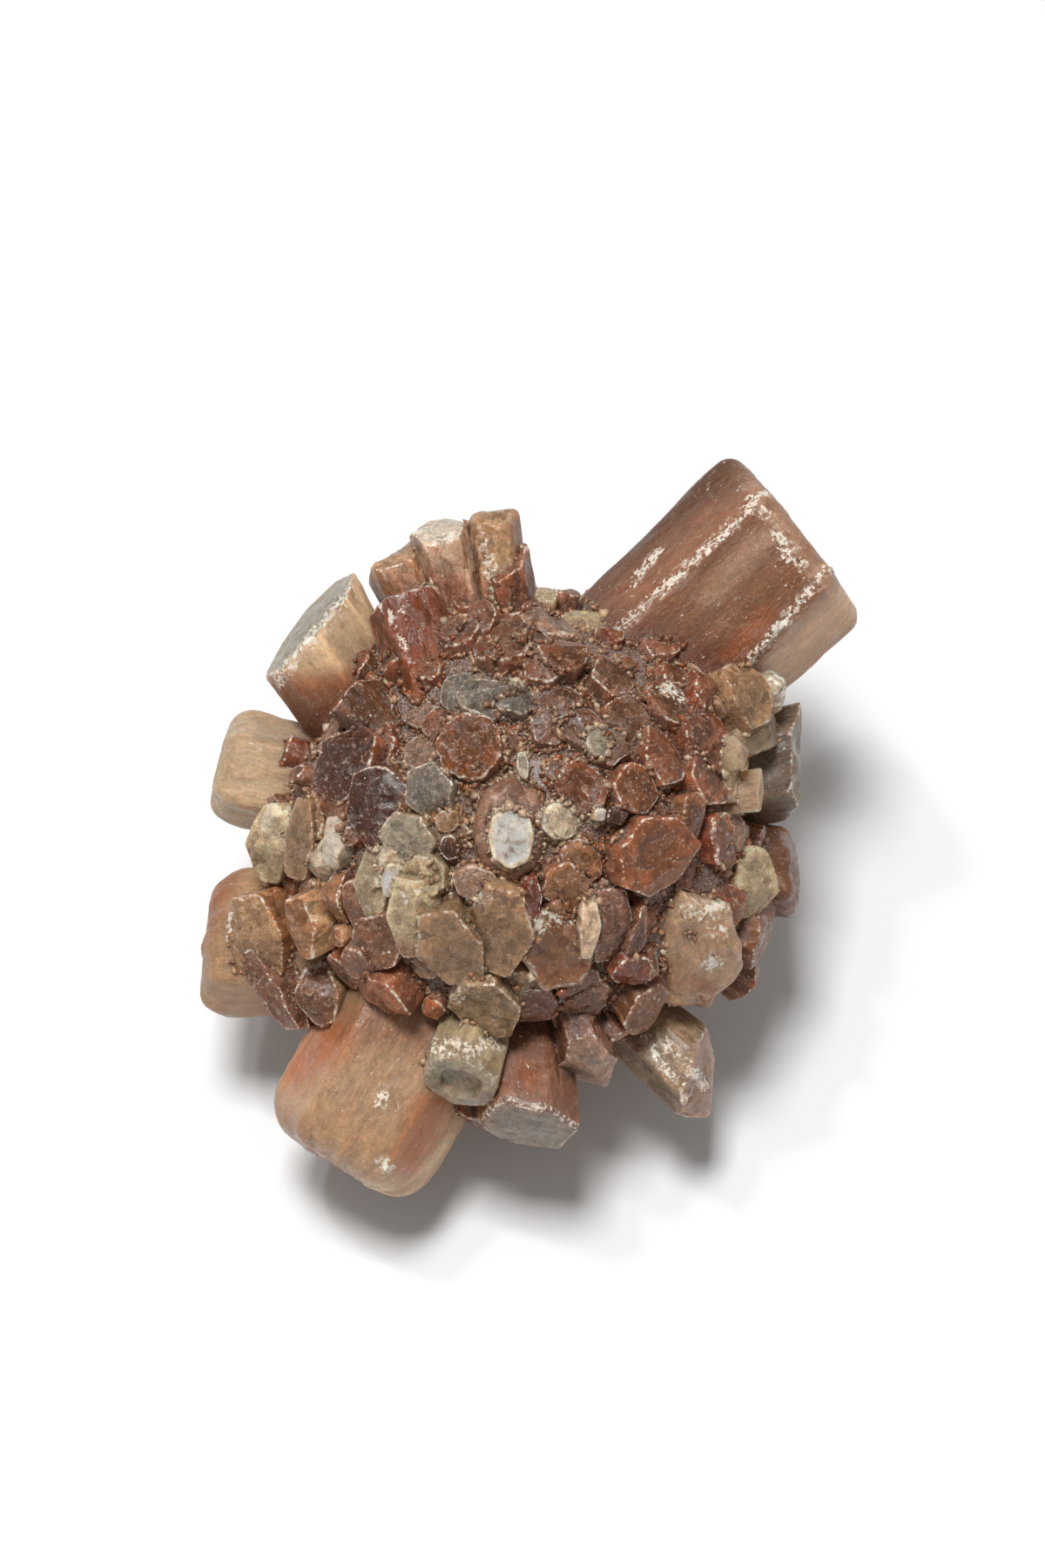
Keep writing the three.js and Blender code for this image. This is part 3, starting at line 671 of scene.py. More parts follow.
def core_solid(rows):
    """The crust bed under the crystals: a lumpy ball whose level follows the ends of those round it."""
    mesh = bpy.data.meshes.new("bed")
    ball = bmesh.new()
    bmesh.ops.create_icosphere(ball, subdivisions=CORE_DETAIL, radius=1.0)
    ball.to_mesh(mesh)
    ball.free()
    points = read(mesh.vertices, "co", 3)
    level = np.clip(level_of_ends(points, rows) - BED_BELOW, *BED_RANGE)
    small, large = BED_LUMPS
    lumps = 0.5 * (0.6 - cell_gap(points * CORE_RADIUS / small)) + 0.25 * noise(points * CORE_RADIUS / large)
    return points * (level + lumps)[:, None], read(mesh.polygons, "vertices", 3, np.int32)


def within_the_solid(mesh, box):
    """Moves the few points that stand outside the solid's box onto it. The mesh is in metres."""
    move_to(mesh, np.clip(read(mesh.vertices, "co", 3), box[0], box[1]))
    mesh.update()


def marked(mesh, owner_and_kind):
    write(mesh, "owner", "INT", "FACE", owner_and_kind)
    return mesh


def grown_together(rows):
    """All crystals and the bed joined in one closed mesh, cut off at the resting plane, in millimetres.

    Its face attribute "owner" is KINDS times the number of a face's crystal, plus the face's kind."""
    operands = bpy.data.collections.new("crystals")
    bpy.context.scene.collection.children.link(operands)
    points, triangles = core_solid(rows)
    bed = mesh_from("joined", stand_up(points), triangles)
    base = new_object("joined", marked(bed, np.zeros(len(triangles))))
    for number, row in enumerate(rows, start=1):
        step = BACK_STEP if row["tip"][2] < BEHIND else FACE_STEP
        points, triangles, kinds = crystal_solid(row, number, step)
        mesh = marked(mesh_from(row["name"], stand_up(points), triangles), KINDS * number + kinds)
        operands.objects.link(bpy.data.objects.new(row["name"], mesh))

    ground = bpy.data.meshes.new("ground")
    sideways = (-GROUND_HALF, GROUND_HALF)
    corners = [(x, y, z) for z in (-GROUND_DEPTH, 0.0) for y in sideways for x in sideways]
    sides = [(0, 2, 3, 1), (4, 5, 7, 6), (0, 1, 5, 4), (2, 6, 7, 3), (0, 4, 6, 2), (1, 3, 7, 5)]
    ground.from_pydata(corners, [], sides)
    flats = marked(ground, np.full(len(sides), KINDS * (len(rows) + 1) + END))
    slab = bpy.data.objects.new("ground", flats)

    joining = base.modifiers.new("join", "BOOLEAN")
    joining.operation = "UNION"
    joining.operand_type = "COLLECTION"
    joining.collection = operands
    joining.solver = "MANIFOLD"
    cutting = base.modifiers.new("cut", "BOOLEAN")
    cutting.operation = "DIFFERENCE"
    cutting.object = slab
    cutting.solver = "MANIFOLD"
    joined = bpy.data.meshes.new_from_object(base.evaluated_get(bpy.context.evaluated_depsgraph_get()))
    for leftover in [*operands.objects, slab, base]:
        bpy.data.objects.remove(leftover)
    bpy.data.collections.remove(operands)
    return joined


# ---- the crust of grains between the crystals ----
GRAIN_COUNT = 21000
GRAIN_HALF = (0.06, 0.32)      # half the width of the smallest and the largest, and most are small
GRAIN_STRAY = 0.45             # how far a grain's corners stray from an even octahedron
GRAIN_SQUEEZE = (0.3, 1.6)
GRAIN_SUNK = 0.35              # how deep it sits, as a share of its width
GRAIN_SHIFT = 0.07             # how far it lies from its point of the surface
GRAIN_LIGHTNESS = (0.75, 1.25)
GRAIN_SEED = 11
GRAIN_TONES = [
    # tone, and how common it is
    ("brick", 0.2), ("umber", 0.16), ("mauve", 0.16), ("rust", 0.05), ("pale_mauve", 0.15),
    ("pink", 0.16), ("pale_honey", 0.08), ("white", 0.1),
]
GRAIN_TAKES = 0.45             # how much of the colour of the stone under it a grain takes on


def grain_crust(surface):
    """Points, triangles and colours of the grains, scattered where the surface is bed, seam or gap."""
    chance = np.random.default_rng(GRAIN_SEED)
    places, normals, weight, tint = surface
    spots = chance.choice(len(places), GRAIN_COUNT, p=weight / weight.sum())
    corners = np.array([(1, 0, 0), (0, 1, 0), (-1, 0, 0), (0, -1, 0), (0, 0, 1), (0, 0, -1)])
    faces = np.array([(0, 1, 4), (1, 2, 4), (2, 3, 4), (3, 0, 4),
                      (1, 0, 5), (2, 1, 5), (3, 2, 5), (0, 3, 5)])

    half = between(GRAIN_HALF, chance.random(GRAIN_COUNT) ** 2)
    squeeze = chance.uniform(*GRAIN_SQUEEZE, (GRAIN_COUNT, 1, 3))
    stray = 1 + GRAIN_STRAY * chance.uniform(-1, 1, (GRAIN_COUNT, len(corners), 1))
    turning = np.linalg.qr(chance.normal(size=(GRAIN_COUNT, 3, 3)))[0]
    grains = np.einsum("gij,gcj->gci", turning, corners * stray * squeeze * half[:, None, None])
    shift = chance.normal(size=(GRAIN_COUNT, 3)) * GRAIN_SHIFT
    middle = places[spots] + shift + normals[spots] * half[:, None] * (1 - 2 * GRAIN_SUNK)
    points = (grains + middle[:, None]).reshape(-1, 3)
    triangles = (faces + len(corners) * np.arange(GRAIN_COUNT)[:, None, None]).reshape(-1, 3)

    shares = np.array([share for tone, share in GRAIN_TONES])
    kinds = chance.choice(len(GRAIN_TONES), GRAIN_COUNT, p=shares / shares.sum())
    own = np.array([linear(tone) for tone, share in GRAIN_TONES])[kinds]
    colours = own + (tint[spots] - own) * GRAIN_TAKES
    colours = colours * chance.uniform(*GRAIN_LIGHTNESS, (GRAIN_COUNT, 1))
    return points, triangles, np.repeat(colours, len(faces), axis=0)


def grain_object(surface):
    points, triangles, colours = grain_crust(surface)
    mesh = mesh_from("grains", points * MM, triangles)
    write_colours(mesh, "FACE", colours)
    return new_object("grains", mesh)


# ---- what the surface knows about itself ----
FACET_SPREAD = 0.35       # how much a prism's faces differ in lightness
OUTLINE_PAINTED_SHADE = 0.45      # painted shade: how much darker a rounded crystal is painted where it turns away from the face
EDGE_PAINTED_GLOW = 0.22          # painted glow: how much lighter a prism is painted along its thin edges, as if light shone through them ...
RIM_PAINTED_GLOW = 0.3            # ... and along its end's rim, partly a frosted rim and partly painted glow, more on a clear crystal
EDGE_REACH = 0.6          # how far from an edge the painted glow reaches
VEIN_SHIFT = (7.31, 3.17, 1.7)   # how far apart the veining of one crystal and the next is taken
GAP_SHADE_TONE = "umber"        # painted shade: the colour painted deep in the gaps between crystals, where they shade each other
DEEP_REACH = 4.5          # how far above the core a long crystal's root tone shows
TONE_GAIN = np.array([1.24, 1.15, 0.95])   # surface colour for each unit of seen colour ...
GLOSS_HAZE = 0.014        # ... less what the gloss adds everywhere
DARKEST = 0.006           # no surface colour is darker than this
FAR_AWAY = 9.0            # stands for a distance at which nothing is felt any more
SEAM_STEPS = 10           # how many edges the distance to a seam is followed over
DEPTH_CELLS = 24          # how finely directions are told apart to find the tallest ends
DEPTH_SCALE = 4.0         # a gap this deep counts as fully sunk
UP_PAINTED_SHADE = 0.27            # painted shade: an end that looks straight up is painted darker by this share of its tone, against the light from above ...
UP_PAINTED_DIMMING = 0.008           # ... and by this much besides, against the gloss on it
SHATTER_WIDTH = (8.0, 3.5)   # from this width down to this one, crystals look ever more broken up
SEAM_REACH = 0.7          # how far the dust along a seam spreads
CRUST_MIDDLE = np.array([3.0, 5.0])   # where the crust of grains is thickest, right and up
CRUST_REACH = (5.0, 11.0)   # it is full up to the first distance from there and ends at the second
CRUMBLE = 0.28            # how far the surface stands out or in along a fracture ...
CRUMBLE_REACH = 0.9       # ... up to this many times its width
CRUMBLE_SIZE = 0.4
LOOSE_ON_BED = 0.8        # how many grains lie on the bed ...
LOOSE_ON_SEAM = (0.12, 0.5)   # ... and on a seam: anywhere, and this much more in the middle of the face
LOOSE_REACH = 0.45        # how far from a seam they lie

# Whitish fractures with painted glints along them, and short ones that are only spots of painted glint: the
# crystal, the width, and where each starts and ends (right, up).
STREAKS_AND_GLINTS = [
    ("great_prism", 0.85, (6.0, 11.6), (15.7, 20.6)),
    ("great_prism", 0.95, (14.3, 9.7), (19.5, 15.8)),
    ("great_prism", 1.3, (16.0, 17.8), (17.6, 15.7)),
    ("great_prism", 0.8, (6.9, 14.6), (8.9, 16.9)),
    ("great_prism", 1.0, (14.4, 19.9), (15.7, 18.9)),
    ("tall_column", 1.1, (-2.2, 17.9), (-1.3, 14.1)),
    ("white_column", 1.2, (-5.7, 18.1), (-4.4, 17.8)),
    ("red_glassy", 0.6, (-8.4, 13.2), (-6.6, 12.8)),
    ("red_glassy", 0.6, (-8.1, 13.0), (-6.3, 9.2)),
    ("grey_ended_prism", 1.2, (-14.9, 8.8), (-10.4, 14.2)),
    ("glint_chip", 1.5, (16.1, 8.8), (17.5, 7.0)),
    ("pale_honey", 2.2, (10.9, -5.3), (12.4, -5.3)),
    ("pale_honey", 1.4, (12.1, -6.8), (12.3, -6.9)),
    ("pale_honey", 1.4, (11.9, -8.8), (12.1, -8.9)),
    ("golden_window", 1.8, (0.8, -6.3), (3.0, -5.5)),
    ("mauve_hexagon", 1.2, (-2.8, -4.6), (-1.8, -4.5)),
    ("olive_hexagon", 1.6, (-3.9, -10.2), (-3.6, -10.5)),
    ("green_window", 1.3, (-5.3, -14.0), (-1.2, -13.8)),
    ("peach_giant", 1.3, (-8.5, -21.4), (-8.2, -21.6)),
    ("peach_giant", 1.0, (-8.2, -16.8), (-8.6, -17.7)),
    ("pink_point", 0.9, (8.0, -13.7), (10.6, -17.5)),
    ("pink_point", 0.9, (9.0, -13.6), (11.8, -16.8)),
    ("brown_step", 1.2, (12.6, 4.2), (13.6, 4.0)),
    ("crust_block_c", 1.2, (9.0, 8.2), (10.2, 7.6)),
    ("lobe_top", 1.0, (-18.2, -6.0), (-18.4, -7.4)),
    ("green_orange", 1.2, (-6.9, -4.6), (-6.2, -4.4)),
]

# Stains, bleached patches and a painted highlight: the crystal, the tone, its strength, where it starts and
# ends, and its reach.
STAINS = [
    ("great_prism", "umber", 1.0, (3.0, 14.6), (12.8, 22.6), 3.4),
    ("great_prism", "maroon", 1.0, (4.6, 9.6), (13.8, 8.2), 4.4),
    ("great_prism", "rosy", 1.0, (16.4, 9.4), (20.8, 13.6), 2.2),
    ("great_prism", "rust", 0.55, (13.2, 10.2), (15.4, 13.0), 1.0),
    ("great_prism", "pink", 0.6, (12.0, 14.0), (16.0, 18.2), 1.5),
    ("grey_ended_prism", "rust", 0.8, (-15.0, 8.2), (-9.0, 8.6), 1.6),
    ("grey_ended_prism", "maroon", 1.0, (-15.0, 6.4), (-9.0, 6.2), 3.4),
    ("grey_ended_prism", "maroon", 1.0, (-14.0, 4.6), (-9.0, 4.2), 3.0),
    ("green_window", "cream", 0.7, (-3.8, -16.6), (-2.6, -16.2), 1.2),
    ("low_column", "brick", 0.7, (-8.8, 14.2), (-6.6, 14.8), 1.8),
    ("white_column", "brick", 0.8, (-6.3, 14.5), (-4.0, 14.5), 2.0),
    ("tall_column", "brick", 0.9, (0.4, 18.3), (1.2, 14.8), 1.4),
    ("tall_column", "brick", 0.7, (-2.8, 14.0), (-1.5, 13.8), 1.6),
    ("pale_honey", "cream", 0.6, (9.8, -5.2), (12.6, -5.0), 1.6),
    ("pale_honey", "golden", 0.5, (9.6, -9.5), (11.5, -11.5), 1.4),
    ("pale_honey", "pink", 0.7, (14.0, -8.0), (13.5, -12.0), 1.2),
    ("pale_honey", "rust", 0.6, (11.0, -10.0), (12.0, -10.5), 0.7),
    ("golden_window", "mauve", 0.7, (1.4, -7.3), (3.2, -6.9), 1.2),
    ("golden_window", "orange", 0.8, (1.6, -9.3), (3.9, -9.0), 1.0),
    ("green_orange", "orange", 0.9, (-7.4, -7.8), (-5.9, -8.2), 1.1),
    ("peach_giant", "amber", 1.0, (-14.0, -15.7), (-11.4, -13.4), 2.2),
    ("peach_giant", "amber", 1.0, (-5.4, -17.9), (-6.8, -21.4), 1.9),
    ("peach_giant", "brick", 0.5, (-15.2, -18.1), (-11.6, -22.1), 1.5),
    ("peach_giant", "brick", 0.6, (-10.5, -12.4), (-5.2, -13.4), 2.4),
    # painted highlight: the bright rim along the giant's lower edge
    ("peach_giant", "cream", 0.8, (-10.9, -22.6), (-7.4, -23.6), 0.8),
    ("peach_giant", "cream", 0.8, (-7.0, -23.4), (-4.4, -20.4), 0.7),
    ("grey_foot", "rust", 0.7, (0.2, -15.4), (0.8, -15.9), 0.8),
    ("lower_left_lobe", "rust", 0.7, (-20.2, -7.7), (-18.4, -3.2), 1.4),
    ("lower_left_lobe", "rust", 0.6, (-16.2, -13.2), (-14.5, -13.7), 1.2),
]


def linear(tone):
    """The surface colour, in linear light, that looks like a tone under the studio's light."""
    share = np.array(TONES[tone]) / 255
    seen = np.where(share <= 0.04045, share / 12.92, ((share + 0.055) / 1.055) ** 2.4)
    return np.maximum(seen * TONE_GAIN - GLOSS_HAZE, DARKEST)


def seam_gap(places, corners, owner_of_corner, edges):
    """How far each vertex is from the nearest seam between two crystals, along the surface."""
    lowest = np.full(len(places), 10 ** 6)
    highest = np.zeros(len(places), int)
    np.minimum.at(lowest, corners, owner_of_corner)
    np.maximum.at(highest, corners, owner_of_corner)
    gap = np.where(lowest == highest, FAR_AWAY, 0.0)
    spans = np.linalg.norm(places[edges[:, 0]] - places[edges[:, 1]], axis=1)
    for _ in range(SEAM_STEPS):
        reached = gap[edges] + spans[:, None]
        np.minimum.at(gap, edges[:, 0], reached[:, 1])
        np.minimum.at(gap, edges[:, 1], reached[:, 0])
    return gap


def depth_in_gaps(places):
    """How far each vertex lies below the ends of the crystals round it, from 0 to 1."""
    radius = np.linalg.norm(places, axis=1)
    cell = ((unit(places) + 1) / 2 * (DEPTH_CELLS - 1)).astype(int)
    tallest = np.zeros((DEPTH_CELLS + 2,) * 3)
    np.maximum.at(tallest, tuple((cell + 1).T), radius)
    around = tallest.copy()
    for axis in range(3):
        around = np.maximum(around, np.maximum(np.roll(around, 1, axis), np.roll(around, -1, axis)))
    return np.clip((around[tuple((cell + 1).T)] - radius) / DEPTH_SCALE, 0, 1)


def along(points, start, end):
    """How far points lie from the stretch between two points, as seen from the face."""
    start, end = np.array(start), np.array(end)
    line = end - start
    share = np.clip(((points[:, :2] - start) @ line) / (line @ line), 0, 1)
    return np.linalg.norm(points[:, :2] - start - share[:, None] * line, axis=1)


def dress(mesh, rows):
    """Writes what the stone's material reads, roughens the fractures and says where grains may lie.

    The mesh is still in millimetres."""
    count = len(mesh.vertices)
    places = lie_back(read(mesh.vertices, "co", 3))
    corners = read(mesh.loops, "vertex_index", kind=np.int32)
    edges = read(mesh.edges, "vertices", 2, np.int32)
    sizes = read(mesh.polygons, "loop_total", kind=np.int32)
    marks = np.repeat(read(mesh.attributes["owner"].data, "value", kind=np.int32), sizes)
    owner, kind = marks // KINDS, marks % KINDS

    # the bed comes first and the resting flats last, and both use the face frame itself
    plain = crystal("plain", (0, 0, CORE_RADIUS + 1), (9, 9), 0, "umber brown brown")
    table = [plain, *rows, plain]
    placed = [placing(row) for row in table]
    turns = np.array([rotation.T for rotation, root, length in placed])
    roots = np.array([root for rotation, root, length in placed])
    reach = np.array([max(np.linalg.norm(row["tip"]), CORE_RADIUS + 0.8) for row in table])
    tones = np.array([[linear(tone) for tone in row["tones"].split()] for row in table])
    clear = np.array([row.get("clear", 0.0) for row in table])
    frost = np.array([row.get("frost", 0.0) for row in table])
    sharp = np.array([worn_round(row) < ROUNDED for row in table])
    shatter = smooth(*SHATTER_WIDTH, np.array([min(row["size"]) for row in table])) * (1 - clear)

    here = places[corners]
    local = np.einsum("nij,nj->ni", turns[owner], here - roots[owner])
    sides = np.array([row.get("sides", 6) for row in table])
    half = np.array([row["size"] for row in table]) / 2
    flat = local[:, :2] / half[owner]
    rim = np.clip(np.linalg.norm(flat, axis=1), 0, 1)
    turned = np.arctan2(flat[:, 1], flat[:, 0]) * sides[owner] / (2 * math.pi)
    facet = np.floor(turned)
    from_edge = np.abs(turned - np.round(turned)) * 2 * math.pi / sides[owner] * half[owner].mean(axis=1)
    lift = 1 + FACET_SPREAD * (lattice(np.column_stack([owner, facet, facet])) - 0.5) * (kind == SIDE)
    # painted glow: lighter along a prism's thin edges and its end's rim, darker in the middle of an end
    lift += EDGE_PAINTED_GLOW * smooth(EDGE_REACH, 0.0, from_edge) * (kind == SIDE) * sharp[owner]
    lift += RIM_PAINTED_GLOW * (smooth(0.5, 1.0, rim) * (1 + 3 * clear[owner]) - 0.3) * (kind == END)
    local += owner[:, None] * VEIN_SHIFT

    gap = seam_gap(places, corners, owner, edges)[corners]
    sunk = depth_in_gaps(places)[corners]
    risen = np.linalg.norm(here, axis=1) - CORE_RADIUS
    exposure = smooth(0, 1, risen / np.minimum(reach[owner] - CORE_RADIUS, DEEP_REACH))
    deep, side, end = tones[owner, 0], tones[owner, 1], tones[owner, 2]
    tint = deep + (side - deep) * exposure[:, None]
    # painted shade: an end that faces up is painted darker, against the light from above
    upward = turns[:, 2] @ [0, math.sin(LEAN_BACK), math.cos(LEAN_BACK)]
    upward = np.maximum(upward, 0)[owner, None]
    shown = np.maximum(end * (1 - UP_PAINTED_SHADE * upward) - UP_PAINTED_DIMMING * upward, DARKEST)
    tint = np.where((kind == END)[:, None], shown, tint)
    tint = np.where((kind == BEVEL)[:, None], (side + end) / 2, tint)
    tint = tint * lift[:, None]
    normals = read(mesh.vertex_normals, "vector", 3)
    outward = normals[corners] @ [0, -math.sin(LEAN_BACK), math.cos(LEAN_BACK)]
    # painted shade: darker where a rounded crystal turns away from the face
    tint *= 1 - (OUTLINE_PAINTED_SHADE * smooth(0.5, 0.0, outward) * ~sharp[owner] * (kind != END))[:, None]
    showing = smooth(-0.15, 0.1, outward)
    names = [row["name"] for row in table]
    for name, tone, strength, start, stop, width in STAINS:
        near = (owner == names.index(name)) * strength * showing * smooth(width, 0, along(here, start, stop))
        tint += (linear(tone) - tint) * near[:, None]
    # painted shade deep in the gaps between crystals
    shade = 0.5 * smooth(0.15, 0.9, sunk) * (kind != END) * smooth(3.2, 1.2, risen)
    tint += (linear(GAP_SHADE_TONE) - tint) * shade[:, None]

    # streaks are whitish fractures and spots of painted glint
    streak_and_glint = np.full(len(corners), FAR_AWAY)
    for name, width, start, stop in STREAKS_AND_GLINTS:
        away = along(here, start, stop) / width + FAR_AWAY * (1 - showing)
        streak_and_glint = np.where(owner == names.index(name), np.minimum(streak_and_glint, away), streak_and_glint)

    middle = smooth(CRUST_REACH[1], CRUST_REACH[0], np.linalg.norm(here[:, :2] - CRUST_MIDDLE, axis=1))
    middle = middle * (here[:, 2] > 0)
    dust = smooth(SEAM_REACH, 0, gap) * (0.35 + 0.65 * middle)
    low_down = 0.6 * middle * smooth(0.3, 0.8, sunk) * (kind != END)
    crust = np.where(owner == 0, 1.0, np.maximum(dust, low_down))

    values = {
        "clear": clear[owner] * (1 - crust),
        "frost": frost[owner] * (kind == END),
        # the worn bevel, which also carries painted glints
        "wear_and_glint": np.where((kind == BEVEL) & sharp[owner], 1.0, 0.0),
        "crust": crust,
        "streak_and_glint": streak_and_glint,
        "shatter": shatter[owner],
    }
    for name, numbers in values.items():
        write(mesh, name, "FLOAT", "CORNER", numbers)
    write(mesh, "grain", "FLOAT_VECTOR", "CORNER", local)
    write_colours(mesh, "CORNER", tint)

    # where grains may lie: on the bed, along seams and low between crystals, most in the middle of the face
    weight = np.zeros(count)
    above = smooth(0.3, 1.5, stand_up(here)[:, 2])
    anywhere, more = LOOSE_ON_SEAM
    loose = np.where(owner == 0, LOOSE_ON_BED + middle, 0.0)
    loose = loose + smooth(LOOSE_REACH, 0, gap) * (anywhere + more * middle)
    np.maximum.at(weight, corners, loose * above)
    under = np.zeros((count, 3))
    under[corners] = tint
    near = np.full(count, FAR_AWAY)
    np.minimum.at(near, corners, streak_and_glint)
    crumbled = CRUMBLE * smooth(CRUMBLE_REACH, 0.1, near) * noise(places / CRUMBLE_SIZE)
    standing = stand_up(places) + normals * crumbled[:, None]
    move_to(mesh, standing)
    return standing, normals, weight, under


# ---- materials ----
FROST_COLOUR = (0.62, 0.58, 0.54, 1)
# painted glints: small flecks of highlight laid into the colour
PAINTED_GLINT_COLOUR = (0.86, 0.77, 0.66, 1)
RUST_COLOUR = (0.30, 0.105, 0.04, 1)
PALE_COLOUR = (0.66, 0.54, 0.44, 1)
MILKY_GAIN = (1.28, 1.26, 1.24, 1)
CRUST_DARK = (0.085, 0.042, 0.032, 1)
CRUST_PALE = (0.46, 0.33, 0.27, 1)
WARP = (0.9, 0.9, 0.5)
CELL_SCALE = 1.6
GLOW_RADIUS = (1.0, 0.42, 0.25)     # how far red, green and blue light travel inside, as shares of ...
GLOW_REACH = 0.001                  # ... this distance
STONE_GLOSS = {
    "IOR": 1.6, "Specular IOR Level": 0.35, "Coat Weight": 0.12, "Coat Roughness": 0.16,
    "Subsurface Weight": 0.8, "Subsurface Radius": GLOW_RADIUS, "Subsurface Scale": GLOW_REACH,
}
GRAIN_GLOSS = {
    "IOR": 1.6, "Roughness": 0.24,
    "Subsurface Weight": 0.4, "Subsurface Radius": GLOW_RADIUS, "Subsurface Scale": GLOW_REACH / 3,
}
FLOOR_GLOSS = {"Base Color": (0.9, 0.9, 0.9, 1), "Roughness": 0.6}
# Strength, and height in metres, of the relief that only the shading shows.
FIBRE_BUMP = (0.6, 0.00012)
GRIT_BUMP = (0.6, 0.00006)
CELL_BUMP = (1.0, 0.0007)
# The noises in the stone: how many bumps to a millimetre along a crystal's axes, detail and roughness.
NOISES = {
    "bands": ((1.4, 1.4, 0.3), 5.0, 0.6),
    "fibres": ((4.5, 4.5, 1.2), 4.0, 0.6),
    "clouds": ((0.45, 0.45, 0.3), 5.0, 0.6),
    "grit": ((8.0, 8.0, 8.0), 3.0, 0.7),
    "patches": ((2.2, 2.2, 2.2), 4.0, 0.7),
    "specks": ((3.6, 3.6, 3.6), 3.0, 0.7),
    "sparks": ((4.6, 4.6, 2.4), 2.0, 0.6),
    "rubbed": ((0.9, 0.9, 0.9), 4.0, 0.7),
    "breaks": ((1.1, 1.1, 1.1), 2.0, 0.6),
}


def node(tree, kind, inputs=None, **settings):
    """A new shader node. Inputs are numbers, colours or other nodes' outputs."""
    made = tree.nodes.new(kind)
    for name, value in settings.items():
        setattr(made, name, value)
    for name, value in (inputs or {}).items():
        if isinstance(value, bpy.types.NodeSocket):
            tree.links.new(value, made.inputs[name])
        else:
            made.inputs[name].default_value = value
    return made


def attribute(tree, name, output="Fac"):
    return node(tree, "ShaderNodeAttribute", attribute_name=name).outputs[output]


def spread_noise(tree, vector, scale, detail, roughness):
    """Noise of 0 to 1 over a vector that is first scaled along each axis."""
    scaled = vector_node(tree, "MULTIPLY", vector, scale).outputs[0]
    inputs = {"Vector": scaled, "Scale": 1.0, "Detail": detail, "Roughness": roughness}
    return node(tree, "ShaderNodeTexNoise", inputs).outputs["Fac"]


def ramp(tree, value, low, high, start=0.0, end=1.0):
    inputs = {"Value": value, "From Min": low, "From Max": high, "To Min": start, "To Max": end}
    return node(tree, "ShaderNodeMapRange", inputs, interpolation_type="SMOOTHSTEP").outputs["Result"]


def math_node(tree, operation, first, second):
    return node(tree, "ShaderNodeMath", {0: first, 1: second}, operation=operation).outputs[0]


def product(tree, first, second):
    return math_node(tree, "MULTIPLY", first, second)


def vector_node(tree, operation, first, second):
    return node(tree, "ShaderNodeVectorMath", {0: first, 1: second}, operation=operation)


def bumped(tree, relief, height, **under):
    """A normal bent by a height, over an earlier one if there is one."""
    inputs = {"Strength": relief[0], "Distance": relief[1], "Height": height}
    return node(tree, "ShaderNodeBump", inputs | under).outputs[0]


def blend(tree, share, first, second, kind="MIX"):
    made = node(tree, "ShaderNodeMix", data_type="RGBA", blend_type=kind)
    for socket, value in ((made.inputs[0], share), (made.inputs[6], first), (made.inputs[7], second)):
        if isinstance(value, bpy.types.NodeSocket):
            tree.links.new(value, socket)
        else:
            socket.default_value = value
    return made.outputs[2]


def dimmed(tree, colour, factor, share=1.0):
    """A colour times a factor, as far as the share says."""
    return blend(tree, share, colour, factor, "MULTIPLY")


def new_material(name, gloss):
    made = bpy.data.materials.new(name)
    made.use_nodes = True
    shader = made.node_tree.nodes["Principled BSDF"]
    for socket, value in gloss.items():
        shader.inputs[socket].default_value = value
    return made, made.node_tree, shader


